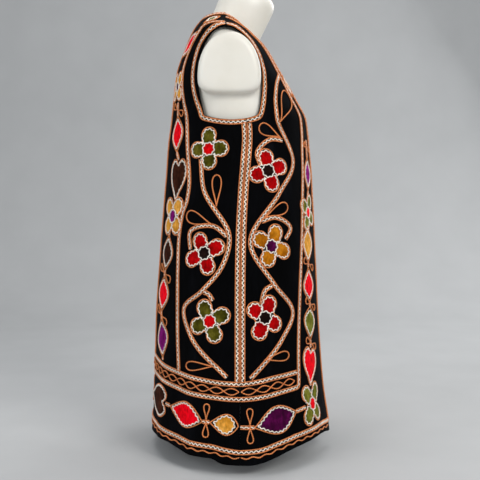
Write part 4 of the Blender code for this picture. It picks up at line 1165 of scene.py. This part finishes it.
def draw_flower(where, phi, z, colour, tone, centre_colour, centre_tone, size, petals):
    petals = np.array(petals, float) / 1000
    ball = 0.0148 * size
    notch = 0.0190 * size
    angles = np.linspace(0, 2 * np.pi, 240, endpoint=False)
    way = np.stack([np.sin(angles), np.cos(angles)], -1)
    reach = np.full(len(angles), notch)
    for petal in petals:
        ahead = way @ petal
        aside = np.abs(way[:, 0] * petal[1] - way[:, 1] * petal[0])
        inside = ball**2 - aside**2
        hit = (inside > 0) & (ahead > 0)
        reach = np.where(hit, np.maximum(reach, ahead + np.sqrt(np.maximum(inside, 0))), reach)
    ring = smooth_loop(way * reach[:, None], 5)
    ring = smooth_loop(outline_run(ring, 0.0022), 1)
    petal_runs = []
    for petal in petals:
        far = np.linalg.norm(petal)
        out = petal / far
        side = np.array([-out[1], out[0]])
        d = far * 1000 / size
        rows = [(11.2, -8.2), (12.3, -10.8), (14.6, -11.9), (18.0, -12.1), (d - 1, -12.0), (d + 4.6, -10.5),
                (d + 9.2, -6.6), (d + 11.2, 0.0)]
        rows = rows + [(a, -b) for a, b in rows[-2::-1]]
        rows = np.array(rows) / 1000 * size
        path = catmull(rows, closed=False)
        petal_runs.append((path[:, :1] * out + path[:, 1:] * side, out * (far * 0.98)))
    round_centre = np.stack([np.sin(angles[::6]), np.cos(angles[::6])], -1) * 0.0113 * size
    for tag, turn in sides():
        p = panel_of(where, tag)
        cord(CORDS[p], turn(spread((phi, z), ring)), closed=True)
        for run, middle in petal_runs:
            patch(FELTS[(p, colour)], (phi, z), outline_run(run, 0.0022), turn, tone, middle=middle)
            path = equal_steps(turn(spread((phi, z), run)), 0.0020)
            braid(BRAIDS[p], path, lift=0.0009, swing=0.00125)
        patch(FELTS[(p, centre_colour)], (phi, z), round_centre, turn, centre_tone, height=0.0012)
        braid(BRAIDS[p], turn(spread((phi, z), smooth_loop(round_centre, 1))), lift=0.0011, closed=True, swing=0.00105)


def axis_frame(start, end):
    """Centre of two places, and the unit way and length from one to the other in small distances."""
    centre = ((start[0] + end[0]) / 2, (start[1] + end[1]) / 2)
    along, up = partials(np.array([centre[0]]), np.array([centre[1]]))
    e1 = unit(along)[0]
    e2 = unit(up - unit(along) * (up * unit(along)).sum(-1, keepdims=True))[0]
    a, b = surf(*start), surf(*end)
    d = b - a
    uv = np.array([d @ e1, d @ e2])
    length = float(np.linalg.norm(d))
    return centre, uv / np.linalg.norm(uv), length


def draw_leaf(where, start, end, half, belly, colour, tone):
    centre, way, length = axis_frame(start, end)
    side = np.array([-way[1], way[0]])
    half = half / 1000
    t = np.linspace(0, 1, 41)
    power = math.log(0.5) / math.log(belly)

    def outline(reach, wide):
        w = wide * np.sin(np.pi * t**power) ** 1.12
        top = np.stack([(t - 0.5) * reach, w], -1)
        return np.concatenate([top, (top * (1, -1))[-2:0:-1]])

    def turned(shape):
        return shape[:, :1] * way + shape[:, 1:] * side

    outer = outline_run(turned(outline(length, half)), 0.0022)
    mid_shift = np.array([(belly - 0.5) * 0.004, 0.0])
    inner = outline_run(turned(outline(max(length - 0.0135, length * 0.5), half - 0.0029) + mid_shift), 0.0022)
    for tag, turn in sides():
        p = panel_of(where, tag)
        cord(CORDS[p], turn(spread(centre, outer)), closed=True)
        patch(FELTS[(p, colour)], centre, inner, turn, tone, middle=way * ((belly - 0.5) * length * 0.6))
        braid(BRAIDS[p], turn(spread(centre, smooth_loop(inner, 1))), lift=0.0009, closed=True, swing=0.00125)


def draw_heart(where, notch, tip, half, colour, tone):
    centre, way, length = axis_frame(notch, tip)
    side = np.array([-way[1], way[0]])
    half, reach = half / 1000, length * 1.14

    def shape(k):
        # along the axis from the notch end to the tip, and across it
        rows = [(1.0, 0.0), (0.62, 0.36), (0.22, 0.76), (-0.20, 0.98), (-0.62, 0.92), (-0.90, 0.58),
                (-0.86, 0.24), (-0.66, 0.0)]
        rows = rows + [(a, -b) for a, b in rows[-2:0:-1]]
        curve_points = catmull(rows, closed=True, per=10)
        a = curve_points[:, :1] * (reach / 2 - k * 1.25)
        b = curve_points[:, 1:] * (half - k)
        return a * way + b * side

    outer = outline_run(shape(0.0), 0.0022)
    inner = outline_run(shape(0.0029), 0.0022)
    for tag, turn in sides():
        p = panel_of(where, tag)
        cord(CORDS[p], turn(spread(centre, outer)), closed=True)
        patch(FELTS[(p, colour)], centre, inner, turn, tone)
        braid(BRAIDS[p], turn(spread(centre, smooth_loop(inner, 1))), lift=0.0009, closed=True, swing=0.00125)


def loop_shape(length, width, square=1.5):
    a = np.linspace(0, 2 * np.pi, 61)[1:-1]
    w = np.sin(a) * np.sin(a / 2) ** square
    w = w / np.abs(w).max() * width / 2
    return np.stack([length * (1 - np.cos(a)) / 2, w], -1)


def draw_loop(where, start, end, ratio):
    _, way, length = axis_frame(start, end)
    side = np.array([-way[1], way[0]])
    shape = loop_shape(length, length * ratio, 2.0)
    uv = shape[:, :1] * way + shape[:, 1:] * side
    for tag, turn in sides():
        p = panel_of(where, tag)
        cord(CORDS[p], equal_steps(turn(spread(start, uv)), 0.0022))


def draw_bow(where, phi, z, length, width, angle):
    both = (("right", lambda path: path),) if phi == 90.0 else sides()
    for tag, turn in both:
        p = panel_of(where, tag)
        for k in (0, 1):
            a = math.radians(angle + 180 * k)
            way = np.array([math.sin(a), math.cos(a)])
            side = np.array([-way[1], way[0]])
            shape = loop_shape(length / 1000, width / 1000, 3.0)
            uv = shape[:, :1] * way + shape[:, 1:] * side
            cord(CORDS[p], equal_steps(turn(spread((phi, z), uv)), 0.0022), lift=0.0008)


def draw_chain(where, start, end, cells):
    """Two cords that cross at even steps, one over and one under in turn."""
    phi = np.linspace(start, end, 400)
    path = equal_steps(np.stack([phi, (upper_z(np.minimum(phi, 180 - phi)) + lower_z(np.minimum(phi, 180 - phi))) / 2], -1), 0.0020)
    s = run_of(path)
    turn_at = np.pi * cells * s / s[-1]
    for sign in (1, -1):
        lift = 0.0006 * (1 + sign * np.cos(turn_at))
        yield path, sign * 0.0058 * np.sin(turn_at), lift


def wavy_line(start, end):
    """An even wave a little under the hem band."""
    phi = np.linspace(start, end, 400)
    z = hem_line_z(phi) - 0.0102 + 0.0015 * np.cos(np.radians(phi) * 50)
    return equal_steps(np.stack([phi, z], -1), 0.0026)


def build_motifs():
    for row in FLOWERS:
        draw_flower(*row)
    for row in LEAVES:
        draw_leaf(*row)
    for row in HEARTS:
        draw_heart(*row)
    for row in LOOPS:
        draw_loop(*row)
    for row in BOWS:
        draw_bow(*row)
    for where, start, end, points in STEMS:
        path = trimmed(spline(points), start, end)
        for tag, turn in sides():
            p = panel_of(where, tag)
            band(CORDS[p], BRAIDS[p], turn(path), strand=0.0033, swing=0.00140)
    for where, points in LINKS:
        path = equal_steps(np.array(points, float), 0.0022)
        for tag, turn in sides():
            p = panel_of(where, tag)
            band(CORDS[p], BRAIDS[p], turn(path), strand=0.0028, swing=0.0010, lift=0.0002)
    # interlaced chain between the two horizontal bands
    for path, side, lift in draw_chain("front", -0.6, -37.0, 4):
        for tag, turn in sides():
            p = "front_" + tag
            sign = 1 if tag == "right" else -1
            cord(CORDS[p], turn(path), side=side * sign, lift=lift)
    for path, side, lift in draw_chain("back", 0.6, 179.4, 23):
        cord(CORDS["back"], path, side=side, lift=lift)
    # single wavy cord over the hem
    front = wavy_line(-74.0, -0.4)
    rear = wavy_line(0.4, 90.0)
    for tag, turn in sides():
        cord(CORDS["front_" + tag], turn(front))
    cord(CORDS["back"], np.concatenate([rear, mirror(rear[:-1])[::-1]]))


# ---------------------------------------------------------------- form and stand
FORM = [
    # z, half_width, centre_y, depth_front, depth_back
    (0.2320, 0.128, -0.002, 0.080, 0.092), (0.2520, 0.150, 0.000, 0.092, 0.106),
    (0.3060, 0.166, 0.000, 0.098, 0.116), (0.3660, 0.160, 0.000, 0.098, 0.110),
    (0.4160, 0.140, 0.000, 0.094, 0.096), (0.4610, 0.122, 0.000, 0.088, 0.086),
    (0.5260, 0.128, 0.002, 0.100, 0.094), (0.5760, 0.137, 0.003, 0.116, 0.108),
    (0.6160, 0.144, 0.004, 0.128, 0.120), (0.6560, 0.149, 0.008, 0.134, 0.119),
    (0.6960, 0.151, 0.015, 0.121, 0.109), (0.7450, 0.155, 0.022, 0.0985, 0.0965),
]
FORM_UPPER_Z = (0.772, 0.792, 0.804, 0.812, 0.820, 0.829, 0.838, 0.845, 0.850)
NECK = [
    # z, half_width, centre_y, half_depth
    (0.7800, 0.053, 0.0394, 0.0600), (0.8232, 0.053, 0.0183, 0.0605), (0.8500, 0.053, 0.0052, 0.0605),
    (0.8720, 0.053, -0.0055, 0.0605), (0.8860, 0.0525, -0.0103, 0.0590), (0.9000, 0.0490, -0.0101, 0.0526),
    (0.9120, 0.0420, -0.0092, 0.0440), (0.9210, 0.0310, -0.0082, 0.0320), (0.9260, 0.0170, -0.0076, 0.0175),
    (0.9275, 0.0060, -0.0075, 0.0062),
]
STUMP_CENTRE = (0.0200, 0.7286)
STUMP_RADII = (0.0605, 0.0842, 0.0340)
STUMP = [
    # out, scale
    (0.110, 0.78), (0.138, 0.92), (0.150, 0.98), (0.158, 0.985), (0.1635, 0.950), (0.1670, 0.880),
    (0.1685, 0.780), (0.1692, 0.600), (0.1694, 0.300),
]


def lofted(rings):
    sides_count = rings.shape[1]
    index = np.arange(rings.shape[0] * sides_count).reshape(rings.shape[:2])
    a, d = index[:-1], index[1:]
    quads = np.stack([a, np.roll(a, -1, 1), np.roll(d, -1, 1), d], -1).reshape(-1, 4)
    return rings.reshape(-1, 3), [quads, index[:1, ::-1], index[-1:]]


def ellipse(z, a, yc, bf, bb, count):
    t = 2 * np.pi * np.arange(count) / count
    depth = np.where(np.sin(t) > 0, bb, bf)
    return np.stack([a * np.cos(t), yc + depth * np.sin(t), np.full(count, z)], -1)


def build_form():
    rows = [row for row in FORM]
    for z in FORM_UPPER_Z:
        high = min(z + 0.0080, 0.8590)
        back = float(depth_back(high)) - 0.0012
        rows.append((
            z, min(float(half_width(high)) - 0.0012, 0.157), float(centre_y(high)),
            min(float(depth_front(high)) - 0.0012, float(depth_front(z)) - 0.009),
            min(back, float(depth_back(z)) - 0.009) if z < 0.80 else back,
        ))
    last = rows[-1]
    rows.append((0.8525, last[1] * 0.72, last[2], last[3] * 0.72, last[4] * 0.72))
    columns = [curve([(r[0], r[k]) for r in rows], 0, 1) for k in range(1, 5)]
    levels = np.unique(np.concatenate([np.linspace(0.2320, 0.8525, 110), [r[0] for r in rows]]))
    torso = np.stack([ellipse(z, *(float(c(z)) for c in columns), 120) for z in levels])
    torso[..., 0] *= 0.9985
    neck_columns = [curve([(r[0], r[k]) for r in NECK], 0, 1) for k in range(1, 4)]
    levels = np.unique(np.concatenate([np.linspace(0.7800, 0.9275, 40), [r[0] for r in NECK]]))
    neck = np.stack([
        ellipse(z, float(neck_columns[0](z)), float(neck_columns[1](z)), float(neck_columns[2](z)),
                float(neck_columns[2](z)), 72)
        for z in levels
    ])
    heaps = [lofted(torso), lofted(neck)]
    scale = curve(STUMP, 0, 1)
    outs = np.unique(np.concatenate([np.linspace(0.110, 0.1694, 24), [r[0] for r in STUMP]]))
    t = 2 * np.pi * np.arange(72) / 72
    c, s = np.cos(t), np.sin(t)
    power = np.where(s > 0, 2 / 2.0, 2 / 3.6)
    high = np.where(s > 0, STUMP_RADII[1], STUMP_RADII[2])
    for side in (-1, 1):
        rings = np.stack([
            np.stack([
                np.full(72, side * out),
                STUMP_CENTRE[0] + np.sign(c) * np.abs(c) ** power * STUMP_RADII[0] * float(scale(out)),
                STUMP_CENTRE[1] + np.sign(s) * np.abs(s) ** power * high * float(scale(out)),
            ], -1)
            for out in outs
        ])
        if side < 0:
            rings = rings[:, ::-1]
        heaps.append(lofted(rings))
    heap = Heap()
    for points, faces in heaps:
        heap.add(points, faces)
    form = heap.made("form_shell", [FORM_CREAM])
    remesh = form.modifiers.new("one_skin", "REMESH")
    remesh.mode = "VOXEL"
    remesh.voxel_size = 0.0040
    remesh.use_smooth_shade = True
    smooth = form.modifiers.new("soften", "SMOOTH")
    smooth.factor = 0.5
    smooth.iterations = 6
    graph = bpy.context.evaluated_depsgraph_get()
    mesh = bpy.data.meshes.new_from_object(form.evaluated_get(graph))
    form.modifiers.clear()
    form.data = mesh
    mesh.materials.clear()
    mesh.materials.append(FORM_CREAM)
    mesh.shade_smooth()
    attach(form, "root")
    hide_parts("form_torso")

    def lathe(name, profile, material, replaced, count=96):
        rings = np.stack([ellipse(z, r, 0.0, r, r, count) for r, z in profile])
        part = Heap()
        part.add(*lofted(rings))
        obj = part.made(name, [material])
        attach(obj, "root")
        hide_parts(replaced)
        return obj

    def rounded_profile(rows):
        return [(r, z) for r, z in rows]

    lathe("stand_foot", rounded_profile([
        (0.1280, 0.0), (0.1294, 0.0004), (0.1300, 0.0014), (0.1300, 0.0064), (0.1297, 0.0076),
        (0.1290, 0.0088), (0.1270, 0.0097), (0.1240, 0.0100), (0.0300, 0.0101), (0.0262, 0.0103),
        (0.0235, 0.0112), (0.0222, 0.0128), (0.0208, 0.0240), (0.0202, 0.0272), (0.0192, 0.0286),
        (0.0180, 0.0290), (0.0128, 0.0290)]), STEEL_BASE, "stand_base")
    lathe("stand_rod", [(0.0125, 0.0288), (0.0125, 0.2024)], STEEL_ROD, "stand_pole", 64)
    lathe("stand_cup", rounded_profile([
        (0.0170, 0.2018), (0.0183, 0.2021), (0.0190, 0.2032), (0.0190, 0.2196), (0.0196, 0.2206),
        (0.0296, 0.2228), (0.0307, 0.2236), (0.0310, 0.2246), (0.0310, 0.2300), (0.0306, 0.2312),
        (0.0296, 0.2318)]), STEEL_ROD, "form_socket", 64)


# ---------------------------------------------------------------- put together
def build_pieces():
    sheets = build_panels()
    build_bands()
    build_motifs()
    build_form()
    made = {p: [] for p in PANELS}
    for p in PANELS:
        cords = CORDS[p].made("cord_" + p, [COPPER])
        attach(cords, "root")
        nodes = [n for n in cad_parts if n.startswith("band_")]
        if p == "back":
            mine = [n for n in nodes if n.startswith("band_back")]
        else:
            tag = p[6:]
            mine = [n for n in nodes if n.endswith("_" + tag) and not n.startswith("band_back")]
        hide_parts(*mine)
        zigzag = BRAIDS[p].made("braid_" + p, [CREAM])
        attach(zigzag, "root")
        made[p] += [cords, zigzag]
    replaced = {
        ("back", "olive"): ["flower_back_top", "flower_back_low"],
        ("back", "red"): ["flower_back_mid"],
        ("front", "red"): ["flower_front_top", "flower_front_low"],
        ("front", "mustard"): ["flower_front_mid"],
        ("front", "olive"): ["flower_corner"],
    }
    for (p, colour), heap in FELTS.items():
        if not heap.count:
            continue
        materials, slot = COLOURS[colour]
        obj = heap.made(f"applique_{colour}_{p}", materials)
        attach(obj, "root")
        stems = replaced.get((p[:5] if p != "back" else "back", colour), [])
        tags = ("right", "left") if p == "back" else (p[6:],)
        names = [f"{s}_{t}" for s in stems for t in tags]
        if names:
            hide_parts(*names)
        made[p].append(obj)
    cuts = {
        # the flat cut of what shows, with no hem or seam allowance: width, length, area
        "front_right": (0.303, 0.898, 0.174), "front_left": (0.303, 0.898, 0.174),
        "back": (0.685, 0.876, 0.437),
    }
    for p in PANELS:
        obj, area = sheets[p]
        width, length, flat_area = cuts[p]
        print(f"SHEET {p} outer area {area:.4f}")
        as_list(made[p])


def build_stage():
    heap = Heap()
    xs = np.concatenate([[-3.2], np.linspace(-3.0, 1.6, 24)])
    bend = [(1.6 + 0.9 * math.sin(a), 0.9 - 0.9 * math.cos(a)) for a in np.linspace(0.1, math.pi / 2, 14)]
    profile = [(x, 0.0) for x in xs] + bend + [(2.5, 3.4)]
    ys = np.linspace(-3.4, 3.4, 12)
    points = np.array([[(x, y, z) for y in ys] for x, z in profile])
    index = np.arange(points.shape[0] * points.shape[1]).reshape(points.shape[:2])
    a, b, c, d = index[:-1, :-1], index[1:, :-1], index[1:, 1:], index[:-1, 1:]
    heap.add(points.reshape(-1, 3), [np.stack([a, b, c, d], -1).reshape(-1, 4)])
    floor = heap.made("studio_floor", [floor_material()])
    scene = bpy.context.scene
    scene.view_settings.view_transform = "Standard"
    world = bpy.data.worlds.new("studio")
    scene.world = world
    world.use_nodes = True
    world.node_tree.nodes["Background"].inputs["Color"].default_value = (0.80, 0.82, 0.85, 1)
    world.node_tree.nodes["Background"].inputs["Strength"].default_value = 0.42

    def area_light(name, place, target, size, power, colour=(1, 1, 1)):
        data = bpy.data.lights.new(name, "AREA")
        data.shape = "RECTANGLE"
        data.size, data.size_y = size
        data.energy = power
        data.color = colour
        obj = bpy.data.objects.new(name, data)
        obj.location = place
        obj.rotation_euler = (Vector(target) - Vector(place)).to_track_quat("-Z", "Y").to_euler()
        scene.collection.objects.link(obj)

    area_light("key", (-2.0, -1.5, 2.0), (0, 0, 0.5), (1.2, 1.2), 42, (1.0, 0.985, 0.96))
    area_light("fill", (-1.8, 1.9, 1.3), (0, 0, 0.5), (1.4, 1.6), 24, (0.96, 0.98, 1.0))
    area_light("top", (0.3, 0.2, 2.6), (0, 0, 0.4), (1.6, 1.6), 22)
    area_light("behind", (1.7, -1.6, 1.6), (0, 0, 0.5), (1.2, 1.4), 22)


def build_camera():
    data = bpy.data.cameras.new("camera")
    data.sensor_fit = "HORIZONTAL"
    data.sensor_width = 36.0
    data.lens = 902.4 / 480 * 36.0
    data.clip_end = 50
    camera = bpy.data.objects.new("camera", data)
    camera.location = (-1.85, 0.0, 0.516)
    camera.rotation_euler = (math.radians(90 - math.degrees(math.atan(50 / 902.4))), 0.0, math.radians(-90))
    bpy.context.scene.collection.objects.link(camera)
    bpy.context.scene.camera = camera


build_camera()
build_stage()
build_pieces()
print("LENGTHS", {k: round(v, 2) for k, v in LENGTHS.items()})
